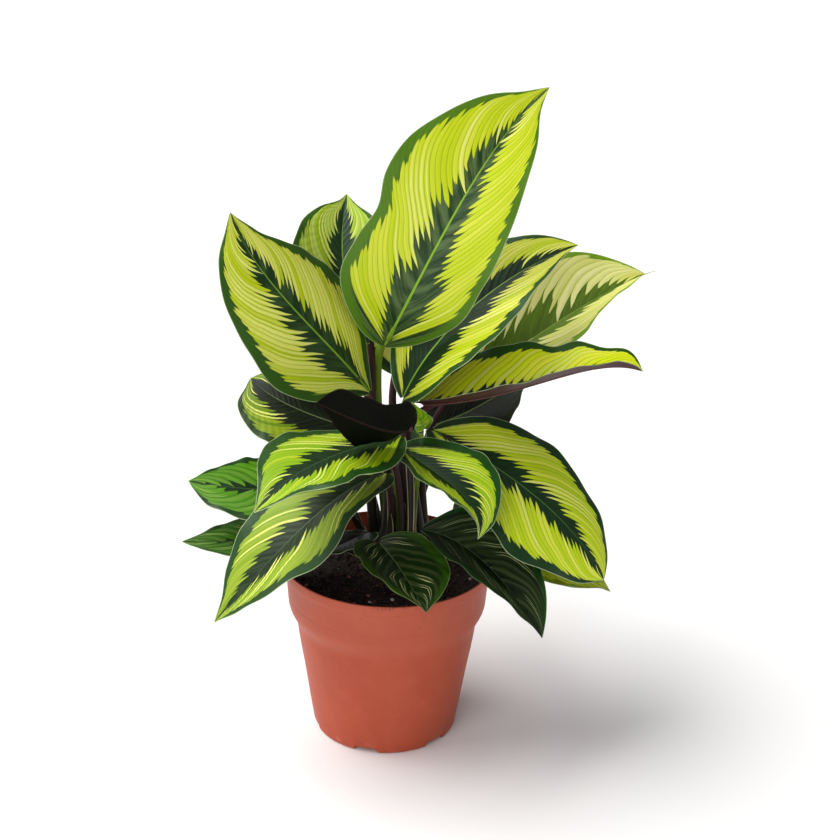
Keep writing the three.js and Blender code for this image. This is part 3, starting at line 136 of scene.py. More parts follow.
# ---------------------------------------------------------------- node maths
class Tree:
    def __init__(self, name):
        self.mat = bpy.data.materials.new(name)
        self.mat.use_nodes = True
        self.t = self.mat.node_tree
        self.t.nodes.clear()
        self.out = self.t.nodes.new("ShaderNodeOutputMaterial")
        self.bsdf = self.t.nodes.new("ShaderNodeBsdfPrincipled")
        self.t.links.new(self.bsdf.outputs[0], self.out.inputs[0])

    def put(self, socket, x):
        if isinstance(x, bpy.types.NodeSocket):
            self.t.links.new(x, socket)
        elif isinstance(x, (tuple, list)):
            socket.default_value = tuple(x)[: len(socket.default_value)]
        else:
            socket.default_value = x

    def m(self, op, a, b=0.0, c=0.0):
        n = self.t.nodes.new("ShaderNodeMath")
        n.operation = op
        for i, x in enumerate((a, b, c)):
            self.put(n.inputs[i], x)
        return n.outputs[0]

    def add(self, a, b): return self.m("ADD", a, b)
    def sub(self, a, b): return self.m("SUBTRACT", a, b)
    def mul(self, a, b): return self.m("MULTIPLY", a, b)
    def fma(self, a, b, c): return self.m("MULTIPLY_ADD", a, b, c)

    def step(self, x, lo, hi):
        n = self.t.nodes.new("ShaderNodeMapRange")
        n.interpolation_type = "SMOOTHSTEP"
        self.put(n.inputs[0], x)
        self.put(n.inputs[1], lo)
        self.put(n.inputs[2], hi)
        return n.outputs[0]

    def attr(self, name):
        n = self.t.nodes.new("ShaderNodeAttribute")
        n.attribute_name = name
        return n.outputs["Fac"]

    def white(self, w):
        n = self.t.nodes.new("ShaderNodeTexWhiteNoise")
        n.noise_dimensions = "1D"
        self.put(n.inputs["W"], w)
        return n.outputs["Value"]

    def vec(self, x, y, z):
        n = self.t.nodes.new("ShaderNodeCombineXYZ")
        for i, v in enumerate((x, y, z)):
            self.put(n.inputs[i], v)
        return n.outputs[0]

    def noise(self, vector, scale, detail=2.0, rough=0.5):
        n = self.t.nodes.new("ShaderNodeTexNoise")
        self.put(n.inputs["Vector"], vector)
        n.inputs["Scale"].default_value = scale
        n.inputs["Detail"].default_value = detail
        n.inputs["Roughness"].default_value = rough
        return n.outputs["Fac"]

    def obj(self):
        return self.t.nodes.new("ShaderNodeTexCoord").outputs["Object"]

    def mix(self, f, a, b):
        n = self.t.nodes.new("ShaderNodeMix")
        n.data_type = "RGBA"
        n.clamp_factor = True
        self.put(n.inputs["Factor"], f)
        self.put(n.inputs["A"], a)
        self.put(n.inputs["B"], b)
        return n.outputs["Result"]

    def bump(self, h, strength, distance):
        n = self.t.nodes.new("ShaderNodeBump")
        n.inputs["Strength"].default_value = strength
        n.inputs["Distance"].default_value = distance
        self.put(n.inputs["Height"], h)
        self.t.links.new(n.outputs[0], self.bsdf.inputs["Normal"])


def leaf_material(name, seed, k):
    T = Tree("leaf_" + name)
    u, v, xm, em, un = (T.attr(a) for a in ("lu", "lv", "xm", "em", "un"))
    av = T.m("ABSOLUTE", v)
    side = T.m("GREATER_THAN", v, 0.0)
    wob = T.noise(T.vec(T.mul(u, 5.0), T.mul(v, 1.5), float(seed)), 1.0, 2.0)
    lean = T.add(T.mul(av, k["fan"][0]), T.mul(T.mul(av, av), k["fan"][1]))
    s = T.sub(u, lean)
    t = T.add(T.fma(s, float(k["cells"]), T.mul(side, 0.43)), T.fma(wob, 1.1, 5.0))
    kc = T.m("FLOOR", t)
    fr = T.m("FRACT", t)
    tri = T.mul(T.m("ABSOLUTE", T.sub(fr, 0.5)), 2.0)
    sd = T.add(T.fma(side, 101.0, kc), seed * 7.31)
    r1, r2, r3, r4 = (T.white(T.add(sd, 0.13 + 17.7 * i)) for i in range(4))
    t2 = T.add(T.mul(t, 0.46), 0.27)
    k2 = T.m("FLOOR", t2)
    tri2 = T.mul(T.m("ABSOLUTE", T.sub(T.m("FRACT", t2), 0.5)), 2.0)
    R = T.white(T.add(T.fma(side, 57.0, k2), seed * 3.17 + 400.5))
    R2 = T.white(T.add(T.fma(side, 57.0, k2), seed * 3.17 + 911.5))
    # inner limit of the stripes: a band round the midrib with pointed gaps
    band = T.fma(s, k["b1"] - k["b0"], k["b0"])
    inner = T.add(T.sub(band, 0.13), T.mul(T.sub(R, 0.5), k["jag"]))
    inner = T.add(inner, T.mul(T.sub(r1, 0.5), k["jag"] * 0.5))
    inner = T.add(inner, T.mul(T.m("POWER", tri, 1.4), k["spike"]))
    inner = T.add(inner, T.mul(tri2, k["spike"] * 0.5))
    pale = T.m("GREATER_THAN", r3, 1.0 - k["cream"])
    inner = T.sub(inner, T.mul(T.mul(pale, T.sub(1.0, T.m("POWER", tri, 0.6))), 0.10))
    outer = T.sub(k["out"] + 0.07, T.mul(R2, 0.05))
    outer = T.sub(outer, T.mul(T.m("POWER", tri, 1.5), 0.035))
    outer = T.sub(outer, T.mul(T.m("POWER", tri2, 2.0), 0.06))
    outer = T.sub(outer, T.mul(r4, 0.03))
    tipcut = T.step(T.add(s, T.mul(r1, 0.06)), k["stop"] + 0.05, k["stop"])
    basecut = T.step(T.add(s, T.mul(r4, 0.05)), k["start"], k["start"] + 0.05)
    field = T.mul(T.step(T.sub(av, inner), 0.0, 0.022), T.step(T.sub(outer, av), 0.0, 0.022))
    field = T.mul(T.mul(field, tipcut), basecut)
    # colour inside the stripes
    streak = T.noise(T.vec(T.mul(t, 2.6), T.mul(av, 1.3), T.add(side, seed * 1.7)), 1.0, 3.0, 0.6)
    deep = T.noise(T.vec(T.mul(t, 0.35), T.mul(av, 1.0), seed * 2.3), 1.0, 1.0)
    limec = T.mix(T.step(T.add(T.mul(streak, 0.6), T.mul(r2, 0.4)), 0.36, 0.66), k["lime"], k["lime2"])
    veinl = T.mul(T.step(tri, 0.72, 1.0), 0.62)
    limec = T.mix(veinl, limec, k["vein"])
    outw = T.mul(T.step(av, 0.55, 0.95), 0.45)
    limec = T.mix(T.mul(outw, T.step(streak, 0.3, 0.6)), limec, k["lime"])
    line = T.mul(T.step(T.add(tri, T.mul(T.sub(r1, 0.5), 0.2)), 0.52, 0.30), pale)
    line = T.mul(line, T.step(av, T.add(0.84, T.mul(r4, 0.10)), T.sub(T.mul(r4, 0.10), -0.50)))
    limec = T.mix(T.mul(line, 0.12 if k["paired"] else 0.85), limec, k["creamc"])
    # green ground: band, painted sheen patches on the band, and margin
    gn = T.noise(T.vec(T.mul(t, 0.9), T.mul(av, 2.2), seed * 0.9), 1.0, 4.0, 0.6)
    ground = T.mix(T.mul(T.step(gn, 0.38, 0.68), k["sheen_share"]), k["dark"], k["sheen_grey"])
    ground = T.mix(T.mul(T.step(tri, 0.80, 1.0), 0.28), ground, k["margin"])
    ground = T.mix(T.step(T.add(av, T.mul(T.sub(gn, 0.5), 0.12)), k["out"] - 0.12, k["out"] + 0.03), ground, k["margin"])
    colour = T.mix(T.mul(field, k["fill"]), ground, limec)
    if k["line"]:
        # fine pale lines in pairs, pointed at both ends
        lf = T.step(tri, T.add(0.15, T.mul(r2, 0.12)), 0.06)
        lo, hi = T.add(T.mul(r1, 0.14), k["b0"]), T.sub(k["out"] - 0.02, T.mul(r4, 0.18))
        ends = T.mul(T.step(T.sub(av, lo), 0.0, 0.16), T.step(T.sub(hi, av), 0.0, 0.14))
        on = T.m("LESS_THAN", r3, k["cream"])
        pair = T.m("LESS_THAN", T.m("ABSOLUTE", T.sub(T.m("ABSOLUTE", T.sub(fr, 0.5)), 0.17)), T.add(0.030, T.mul(r2, 0.020)))
        lf = T.mul(pair, T.step(T.m("ABSOLUTE", T.sub(T.m("ABSOLUTE", T.sub(fr, 0.5)), 0.17)), 0.058, 0.02)) if k["paired"] else lf
        lf = T.mul(T.mul(T.mul(lf, ends), on), T.mul(tipcut, basecut))
        colour = T.mix(T.mul(lf, k["line"] * 0.9), colour, k["creamc"])
    fine = T.noise(T.vec(T.mul(t, 9.0), T.mul(av, 3.0), seed * 1.1), 1.0, 2.0)
    colour = T.mix(T.mul(T.step(fine, 0.52, 0.8), 0.16), colour, k["dark"])
    # midrib and the pale line round the edge
    ribw = T.fma(u, -k["ribw"] * 0.78, k["ribw"])
    ax = T.m("ABSOLUTE", xm)
    ribf = T.step(T.sub(ax, ribw), 0.12, -0.18)
    colour = T.mix(T.mul(ribf, T.step(u, 1.0, 0.55)), colour, k["rib"])
    colour = T.mix(T.mul(T.step(em, 0.62, 0.30), 0.8), colour, k["edge"])
    # underside
    uf = T.noise(T.vec(T.mul(t, 1.1), T.mul(av, 1.6), seed + 3.3), 1.0, 3.0)
    dim = tuple(c * 0.55 for c in k["under"][:3]) + (1.0,)
    back = T.mix(T.step(uf, 0.3, 0.7), k["under"], dim)
    back = T.mix(T.mul(T.step(tri, 0.8, 1.0), 0.35 * k["uline"]), back, srgb(112, 70, 78))
    back = T.mix(T.mul(T.step(T.sub(ax, ribw), 0.5, 0.0), 0.7 * k["uline"]), back, srgb(118, 84, 74))
    back = T.mix(T.mul(T.step(em, 0.9, 0.4), 0.7), back, k["edge"])
    T.put(T.bsdf.inputs["Base Color"], T.mix(T.step(un, 0.4, 0.6), colour, back))
    rough = T.fma(gn, 0.16, k["rough"] - 0.04)
    T.put(T.bsdf.inputs["Roughness"], T.add(rough, T.mul(un, 0.14)))
    T.bsdf.inputs["Specular IOR Level"].default_value = k["spec"]
    h = T.add(T.mul(T.sub(1.0, tri), 0.6), T.mul(fine, 0.3))
    T.bump(h, 0.35, 0.0006)
    return T.mat


# ---------------------------------------------------------------- mesh helpers
def make(name, verts, faces, mat, replaces=(), attrs=None, sharp=None):
    me = bpy.data.meshes.new(name)
    me.from_pydata((np.asarray(verts) * MM).tolist(), [], faces)
    for a, vals in (attrs or {}).items():
        at = me.attributes.new(a, "FLOAT", "POINT")
        at.data.foreach_set("value", np.asarray(vals, np.float32).ravel())
    me.validate()
    me.shade_smooth()
    if sharp:
        me.set_sharp_from_angle(angle=math.radians(sharp))
    me.materials.append(mat)
    ob = bpy.data.objects.new(name, me)
    bpy.context.scene.collection.objects.link(ob)
    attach(ob, "root")
    if replaces:
        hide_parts(*replaces)
    return ob


def bez(P, u):
    P = np.asarray(P, float)
    n = len(P) - 1
    u = np.asarray(u, float)
    return sum(math.comb(n, i) * (u ** i * (1 - u) ** (n - i))[..., None] * P[i] for i in range(n + 1))


def bezd(P, u):
    P = np.asarray(P, float)
    return bez(np.diff(P, axis=0) * (len(P) - 1), u)


def unit(a):
    return a / np.maximum(np.linalg.norm(a, axis=-1, keepdims=True), 1e-12)


def spline(k, u):
    k = np.asarray(k, float)
    n = len(k)
    t = u * (n - 1)
    i = np.minimum(np.floor(t).astype(int), n - 2)
    f = t - i
    e = np.concatenate([[2 * k[0] - k[1]], k, [2 * k[-1] - k[-2]]])
    a, b, c, d = e[i], e[i + 1], e[i + 2], e[i + 3]
    return a * (-0.5 * f + f * f - 0.5 * f ** 3) + b * (1 - 2.5 * f * f + 1.5 * f ** 3) + c * (0.5 * f + 2 * f * f - 1.5 * f ** 3) + d * (-0.5 * f * f + 0.5 * f ** 3)


def blade(L, U, Vv):
    """Points and half-widths of a blade for arrays u (n,1) and v (1,m)."""
    P, up, tw, wl, wr, fold, droop = L[:7]
    u = np.asarray(U, float)
    M, Tn = bez(P, u), unit(bezd(P, u))
    n = np.asarray(up, float)
    n = n / np.linalg.norm(n)
    N0 = unit(n - (Tn @ n)[:, None] * Tn)
    S0 = np.cross(Tn, N0)
    r = tw * (u - 0.5)
    N = N0 * np.cos(r)[:, None] - S0 * np.sin(r)[:, None]
    S = S0 * np.cos(r)[:, None] + N0 * np.sin(r)[:, None]
    w = [spline(list(x) + [0.0], u) for x in (wl, wr)]
    B = [(1 - u) ** 2, 2 * u * (1 - u), u * u]
    ph = [sum(fold[q][i] * B[i] for i in range(3)) for q in (0, 1)]
    al = np.where(u < 0.3, math.radians(52) * (1 - u / 0.3) ** 2, 0) + np.where(u > 0.55, -math.radians(28) * ((u - 0.55) / 0.45) ** 2, 0)
    v = np.asarray(Vv, float)
    out = np.zeros((len(u), len(v), 3))
    W = np.zeros((len(u), len(v)))
    for q, sel in ((0, v < 0), (1, v >= 0)):
        a = np.abs(v[sel])[None, :, None]
        ww, p_, sg = w[q][:, None, None], ph[q][:, None, None], (-1 if q == 0 else 1)
        ca, sa = np.cos(al)[:, None, None], np.sin(al)[:, None, None]
        out[:, sel] = (M[:, None] + a * ww * (ca * np.cos(p_) * sg * S[:, None] + ca * np.sin(p_) * N[:, None] - sa * Tn[:, None])
                       - ww * droop[q] * a * a * N[:, None])
        W[:, sel] = w[q][:, None]
    return out, W


US = np.concatenate([np.linspace(0, 0.10, 12, endpoint=False), np.linspace(0.10, 0.90, 70, endpoint=False), np.linspace(0.90, 0.994, 16)])
VS = np.sort(np.concatenate([-np.array([1.0, 0.985, 0.965]), -np.linspace(0.93, 0.08, 16), [-0.045, -0.02, 0.0, 0.02, 0.045], np.linspace(0.08, 0.93, 16), [0.965, 0.985, 1.0]]))


def leaf(name, L, seed):
    k = look(name, L)
    P, W = blade(L, US, VS)
    nu, nv = W.shape
    du = np.gradient(P, US, axis=0)
    dv = np.gradient(P, VS, axis=1)
    N = unit(np.cross(dv, du))
    av = np.abs(VS)[None, :]
    u = US[:, None]
    t = k["cells"] * (u - k["fan"][0] * av - k["fan"][1] * av * av) + 0.43 * (VS[None, :] > 0)
    size = min(1.0, float(W.max()) / 30)
    relief = 0.16 * size * np.cos(2 * np.pi * t) * np.clip(av * 3, 0, 1) * np.clip((1 - av) * 6, 0, 1) * np.clip(u * 12, 0, 1) * np.clip((1 - u) * 8, 0, 1)
    # the margin waves a little
    ph = seed * 1.9
    wave = 0.7 * size * np.clip((av - 0.6) / 0.4, 0, 1) ** 2 * (np.sin(u * 23 + ph + 2 * (VS[None, :] > 0)) + 0.6 * np.sin(u * 41 + 2.2 * ph)) * np.clip(u * 6, 0, 1) * np.clip((1 - u) * 5, 0, 1)
    xm = av * W * np.sign(VS)[None, :]
    groove = -0.16 * np.exp(-(xm / 1.1) ** 2) * (1 - u)
    half = 0.16 - 0.06 * av
    keelr = L[9] * 0.62 * (1 - u) ** 0.8 + 0.12
    keel = np.where(np.abs(xm) < 2.2 * keelr, keelr * 1.1 * np.exp(-(xm / (keelr * 1.1)) ** 2), 0)
    mid = P + N * (relief + wave)[..., None]
    top = mid + N * (half + groove)[..., None]
    low = mid - N * (half + keel)[..., None]
    tip = blade(L, np.array([1.0]), np.array([0.0]))[0][0, 0]
    verts = np.concatenate([top.reshape(-1, 3), low.reshape(-1, 3), [tip + N[-1, nv // 2] * 0.08, tip - N[-1, nv // 2] * 0.08]])
    o = nu * nv
    ti, li = 2 * o, 2 * o + 1
    F = []
    for i in range(nu - 1):
        for j in range(nv - 1):
            a, b, c, d = i * nv + j, i * nv + j + 1, (i + 1) * nv + j + 1, (i + 1) * nv + j
            F.append((a, b, c, d))
            F.append((o + a, o + d, o + c, o + b))
    for i in range(nu - 1):
        a, d = i * nv, (i + 1) * nv
        F.append((o + d, o + a, a, d))
        a, d = i * nv + nv - 1, (i + 1) * nv + nv - 1
        F.append((o + a, o + d, d, a))
    e = (nu - 1) * nv
    for j in range(nv - 1):
        F.append((o + j, o + j + 1, j + 1, j))
        F.append((e + j, e + j + 1, ti))
        F.append((o + e + j, li, o + e + j + 1))
    F.append((li, o + e, e, ti))
    F.append((o + e + nv - 1, li, ti, e + nv - 1))
    extra = []
    if name == "far_right_pale":
        d = unit(tip - mid[-6, nv // 2])
        q = [tip - d * 2.5, tip + d * 3 + [0, 0, 0.2], tip + d * 6.5 + [0, 0, -0.3], tip + d * 9.5 + [0, 0, -1.4]]
        tv, tf, _ = tube(bez(q, np.linspace(0, 1, 10)), np.linspace(0.42, 0.12, 10), 6, (0, 0, 1))
        extra = tv.tolist()
        F += [tuple(len(verts) + x for x in f_) for f_ in tf]
        verts = np.concatenate([verts, tv])
    ne = len(extra)
    lu = np.broadcast_to(u, W.shape).ravel()
    lv = np.broadcast_to(VS[None, :], W.shape).ravel()
    em = ((1 - av) * np.maximum(W, 0.01)).ravel()
    at = {"lu": np.concatenate([lu, lu, [1, 1]]), "lv": np.concatenate([lv, lv, [0, 0]]),
          "xm": np.concatenate([xm.ravel(), xm.ravel(), [0, 0]]), "em": np.concatenate([em, em, [0, 0]]),
          "un": np.concatenate([np.zeros(o), np.ones(o), [0, 1]])}
    at = {a: np.concatenate([x, np.zeros(ne)]) for a, x in at.items()}
    return make("leaf_" + name, verts, F, leaf_material(name, seed, k), ["blade_" + name], at, sharp=62)


# ---------------------------------------------------------------- stalks
def stalk_material(kind, name, seed):
    T = Tree("petiole_" + name)
    st, se = T.attr("st"), T.attr("se")
    tone = {"green": (srgb(74, 96, 24), srgb(112, 140, 26), srgb(128, 160, 34)),
            "maroon": (srgb(32, 28, 14), srgb(50, 24, 28), srgb(84, 38, 54)),
            "dark": (srgb(26, 24, 14), srgb(32, 34, 18), srgb(50, 64, 30))}[kind]
    n = T.noise(T.vec(T.mul(T.attr("sa"), 5.0), T.mul(st, 3.0), seed), 1.0, 3.0)
    c = T.mix(T.step(T.add(st, T.mul(T.sub(n, 0.5), 0.2)), 0.40, 0.66), tone[0], tone[1])
    c = T.mix(T.step(T.add(st, T.mul(T.sub(n, 0.5), 0.2)), 0.7, 0.95), c, tone[2])
    f = T.noise(T.vec(T.mul(T.attr("sa"), 26.0), T.mul(st, 2.0), seed), 1.0, 3.0)
    c = T.mix(T.mul(T.step(f, 0.45, 0.7), 0.35), c, tuple(x * 0.45 for x in tone[0][:3]) + (1,))
    c = T.mix(T.step(se, 0.35, 0.8), c, srgb(186, 176, 132))
    T.put(T.bsdf.inputs["Base Color"], c)
    T.put(T.bsdf.inputs["Roughness"], T.fma(f, 0.2, 0.40))
    T.bsdf.inputs["Specular IOR Level"].default_value = 0.28
    T.bump(f, 0.3, 0.0004)
    return T.mat


def tube(path, rad, sides, A0=(1, 0, 0)):
    path = np.asarray(path, float)
    tan = unit(np.gradient(path, axis=0))
    A = np.array(A0, float)
    rings, frames = [], []
    for i in range(len(path)):
        A = A - (A @ tan[i]) * tan[i]
        A = A / np.linalg.norm(A)
        B = np.cross(tan[i], A)
        frames.append((A.copy(), B))
        a = np.linspace(0, 2 * np.pi, sides, endpoint=False)
        rings.append(path[i] + rad[i] * (np.cos(a)[:, None] * A + np.sin(a)[:, None] * B))
    V = np.concatenate(rings)
    F = []
    for i in range(len(path) - 1):
        for j in range(sides):
            q = (j + 1) % sides
            F.append((i * sides + j, i * sides + q, (i + 1) * sides + q, (i + 1) * sides + j))
    F.append(tuple(range(sides))[::-1])
    F.append(tuple((len(path) - 1) * sides + j for j in range(sides)))
    return V, F, frames


def stalk(name, L, seed, kind):
    P, q, r0, r1 = L[0], L[7], L[8], L[9]
    n = 56
    fat = {"top_large": 1.5, "upper_rear": 1.45, "back_upright": 1.35}.get(name, 1.12)
    t = np.linspace(0, 1, n)
    path = bez(q, t)
    # it runs on into the midrib's underside
    uu = np.linspace(0, 0.3, 60)
    M = bez(P, uu)
    ua = uu[np.argmin(np.linalg.norm(M - path[-1], axis=1))]
    ext = np.linspace(ua, min(ua + 0.05, 1), 7)
    g, _ = blade(L, ext, np.array([-0.02, 0.0, 0.02]))
    nn = unit(np.cross(g[:, 2] - g[:, 0], np.gradient(g[:, 1], axis=0)))
    drop = np.linspace(1.0, 0.55, 7)[:, None] * r1 * 0.55
    tail = g[:, 1] - nn * (drop + 0.25)
    w = np.linspace(0, 1, 7)[:, None]
    tail = path[-1] + (path[-1] - path[-2]) * w * 2 * (1 - w) + (tail - path[-1]) * w
    path = np.concatenate([path, tail[1:]])
    rad = np.concatenate([r0 + (r1 - r0) * np.minimum(t / 0.8, 1), r1 * np.linspace(0.97, 0.5, 6)])
    # a little swollen where it joins the blade, as the real one is
    tt = np.concatenate([t, np.ones(6)])
    rad = rad * (1 + (fat - 1) * np.clip(tt * 2.2, 0, 1)) * (1 + 0.14 * np.exp(-((tt - 0.93) / 0.035) ** 2))
    V, F, fr = tube(path, rad, 18)
    nV = len(V)
    st = np.repeat(tt, 18)
    sa = np.tile(np.linspace(0, 1, 18, endpoint=False), len(path))
    se = np.zeros(nV)
    # sheath: a thin open wrap round the lower part with pale edges
    m, na = 30, 17
    top = min(0.52, 78.0 / np.linalg.norm(np.diff(bez(q, np.linspace(0, 1, 50)), axis=0), axis=1).sum())
    ts = np.linspace(0.0, top, m)
    sp = bez(q, ts)
    tn = unit(bezd(q, ts))
    A = np.array([1.0, 0, 0])
    open0 = rng.uniform(0, 2 * np.pi)
    inn, outr, e2, s2, a2 = [], [], [], [], []
    for i in range(m):
        A = A - (A @ tn[i]) * tn[i]
        A /= np.linalg.norm(A)
        B = np.cross(tn[i], A)
        f = i / (m - 1)
        half = math.radians(158 - 18 * f - 60 * f ** 4)
        r = r0 + (r1 - r0) * min(ts[i] / 0.8, 1)
        ang = open0 + np.linspace(-half, half, na)
        off = 0.10 + 0.75 * (1 - f) ** 1.5
        flare = 1 + 0.10 * np.abs(np.linspace(-1, 1, na)) ** 6
        d = np.cos(ang)[:, None] * A + np.sin(ang)[:, None] * B
        inn.append(sp[i] + d * ((r + 0.02 + off * 0.3) * flare)[:, None])
        outr.append(sp[i] + d * ((r + 0.30 + off) * flare)[:, None])
        e2.append(np.abs(np.linspace(-1, 1, na)) ** 14)
        s2.append(np.full(na, ts[i]))
        a2.append((ang / (2 * np.pi)) % 1)
    G = np.concatenate([np.concatenate(outr), np.concatenate(inn)])
    o = m * na
    b = nV
    for i in range(m - 1):
        for j in range(na - 1):
            a, c, d, e = i * na + j, i * na + j + 1, (i + 1) * na + j + 1, (i + 1) * na + j
            F.append((b + a, b + c, b + d, b + e))
            F.append((b + o + a, b + o + e, b + o + d, b + o + c))
        F.append((b + o + i * na, b + i * na, b + (i + 1) * na, b + o + (i + 1) * na))
        a, d = i * na + na - 1, (i + 1) * na + na - 1
        F.append((b + a, b + o + a, b + o + d, b + d))
    for j in range(na - 1):
        F.append((b + j + 1, b + j, b + o + j, b + o + j + 1))
        a = (m - 1) * na + j
        F.append((b + a, b + a + 1, b + o + a + 1, b + o + a))
    V = np.concatenate([V, G])
    st = np.concatenate([st, np.tile(np.concatenate(s2), 2)])
    sa = np.concatenate([sa, np.tile(np.concatenate(a2), 2)])
    se = np.concatenate([se, np.tile(np.concatenate(e2), 2)])
    V[:, 2] = np.maximum(V[:, 2], 110.5)
    return make("petiole_" + name, V, F, stalk_material(kind, name, seed), ["stalk_" + name], {"st": st, "sa": sa, "se": se}, sharp=50)


# ---------------------------------------------------------------- pot
def pot():
    WALL = 1.5
    outer = [(48.5, 1.6), (48.9, 4), (51.2, 18), (53.3, 32), (55.4, 46), (57.5, 58), (59.2, 69), (59.75, 73.5), (60.2, 77), (60.75, 79.2), (61.6, 81.5), (62.9, 84.2),
             (64.2, 86.7), (65.2, 89), (65.9, 91.5), (66.25, 94.5), (66.45, 97.0), (66.55, 98.2), (66.50, 98.7), (66.58, 99.3), (66.9, 103), (67.3, 108), (67.9, 112.5), (68.3, 114.4),
             (68.38, 115.0), (69.35, 115.9), (69.75, 116.6), (69.95, 118.5), (70.15, 121.2), (70.2, 122.2)]
    inner = [(r - WALL, z) for r, z in outer[1:-8]] + [(66.3, 114.0), (67.6, 116.2), (68.4, 118.5), (68.75, 121.5)]
    prof = [(0, 0), (15, 0), (16.2, 1.0), (17, 3.5), (38, 3.5), (39.2, 1.5), (40, 0), (47.0, 0), (48.0, 0.5)] + outer + [(70.1, 122.75), (69.8, 123.0), (69.2, 123.0), (68.85, 122.7)] + inner[::-1]
    prof += [(47.0, 2.6), (46.2, 1.9), (41, 1.8), (38.8, 5.3), (16.4, 5.3), (14.4, 1.8), (0, 1.8)]
    angs = set(np.round(np.arange(0, 360, 2.5), 3))
    for i in range(6):
        c = -104 + 60 * i
        for d in (-10.35, -10.05, -8.35, 8.35, 10.05, 10.35):
            angs.add(round((c + d) % 360, 3))
    angs = sorted(angs)
    th = np.radians(angs)
    V, rows = [], []
    for r, z in prof:
        if r == 0:
            rows.append([len(V)])
            V.append((0, 0, z))
            continue
        row = []
        for a, deg in zip(th, angs):
            zz = z
            if z < 3.4 and 38.5 < r < 49.2 and (z < 1.75 or r > 47.5):
                for i in range(6):
                    d = abs((deg - (-104 + 60 * i) + 180) % 360 - 180)
                    if d <= 10.4:
                        lift = 3.4 if d < 8.4 else (3.4 * (10.35 - d) / 2.0 if d < 10.35 else 0)
                        if z < lift:
                            zz = lift
            row.append(len(V))
            V.append((r * math.cos(a), r * math.sin(a), zz))
        rows.append(row)
    F = []
    n = len(th)
    for a, b in zip(rows[:-1], rows[1:]):
        for j in range(n):
            k = (j + 1) % n
            if len(a) == 1:
                F.append((a[0], b[k], b[j]))
            elif len(b) == 1:
                F.append((a[j], a[k], b[0]))
            else:
                F.append((a[j], a[k], b[k], b[j]))
    T = Tree("terracotta_plastic")
    co = T.obj()
    n1 = T.noise(co, 14.0, 4.0, 0.6)
    n2 = T.noise(co, 90.0, 3.0, 0.6)
    n3 = T.noise(co, 420.0, 2.0, 0.5)
    sep = T.t.nodes.new("ShaderNodeSeparateXYZ")
    T.t.links.new(co, sep.inputs[0])
    z = sep.outputs[2]
    c = T.mix(T.step(n1, 0.3, 0.7), srgb(166, 64, 34), srgb(174, 72, 42))
    c = T.mix(T.mul(T.step(n2, 0.45, 0.75), 0.18), c, srgb(192, 98, 68))
    # the collar is a little dustier; soil specks near the rim and a scuff at the foot
    c = T.mix(T.mul(T.step(z, 0.074, 0.09), 0.22), c, srgb(178, 94, 72))
    sp = T.mul(T.step(n3, 0.66, 0.72), T.step(z, 0.085, 0.118))
    c = T.mix(T.mul(sp, 0.55), c, srgb(110, 48, 34))
    seam = T.mul(T.step(T.m("ABSOLUTE", T.sub(z, 0.0985)), 0.0006, 0.0002), T.step(n1, 0.42, 0.6))
    c = T.mix(T.mul(seam, 0.4), c, srgb(134, 58, 42))
    scuff = T.mul(T.step(z, 0.012, 0.002), T.step(n2, 0.5, 0.7))
    c = T.mix(T.mul(scuff, 0.35), c, srgb(214, 130, 104))
    T.put(T.bsdf.inputs["Base Color"], c)
    T.put(T.bsdf.inputs["Roughness"], T.fma(n2, 0.16, 0.44))
    T.bsdf.inputs["Specular IOR Level"].default_value = 0.4
    T.bump(T.add(T.mul(n2, 0.6), T.mul(n3, 0.5)), 0.22, 0.0004)
    ob = make("nursery_pot", V, F, T.mat, ["pot"], sharp=38)
    # the drain holes
    cut = bpy.data.meshes.new("cut")
    cv, cf = [], []
    for i in range(6):
        a = math.radians(-74 + 60 * i)
        c0 = np.array([28 * math.cos(a), 28 * math.sin(a)])
        b = len(cv)
        for zz in (-3.0, 9.0):
            for j in range(20):
                g = 2 * math.pi * j / 20
                cv.append((c0[0] + 3 * math.cos(g), c0[1] + 3 * math.sin(g), zz))
        for j in range(20):
            k = (j + 1) % 20
            cf.append((b + j, b + k, b + 20 + k, b + 20 + j))
        cf.append(tuple(b + j for j in range(20))[::-1])
        cf.append(tuple(b + 20 + j for j in range(20)))
    cut.from_pydata((np.array(cv) * MM).tolist(), [], cf)
    co_ = bpy.data.objects.new("cut", cut)
    bpy.context.scene.collection.objects.link(co_)
    md = ob.modifiers.new("holes", "BOOLEAN")
    md.operation, md.solver, md.object = "DIFFERENCE", "EXACT", co_
    dg = bpy.context.evaluated_depsgraph_get()
    new = bpy.data.meshes.new_from_object(ob.evaluated_get(dg))
    ob.modifiers.clear()
    if len(new.polygons) > 1000:
        ob.data = new
        new.set_sharp_from_angle(angle=math.radians(38))
    bpy.data.objects.remove(co_)
    return ob


# ---------------------------------------------------------------- soil
def fbm(x, y, z=0.0, s=1.0, oct=4):
    return noise.fractal(Vector((x * s, y * s, z)), 0.9, 2.1, oct)


def soil_height(x, y):
    r = math.hypot(x, y)
    h = 109.5 + 1.2 * (r / 64) ** 2
    h += 1.1 * fbm(x, y, 0.3, 0.09) + 0.55 * fbm(x, y, 5.0, 0.34) + 0.25 * fbm(x, y, 9.0, 0.9)
    h += 1.2 * math.exp(-(((x - 9) ** 2 + (y - 6) ** 2) / 700.0))
    return min(h, 113.0)


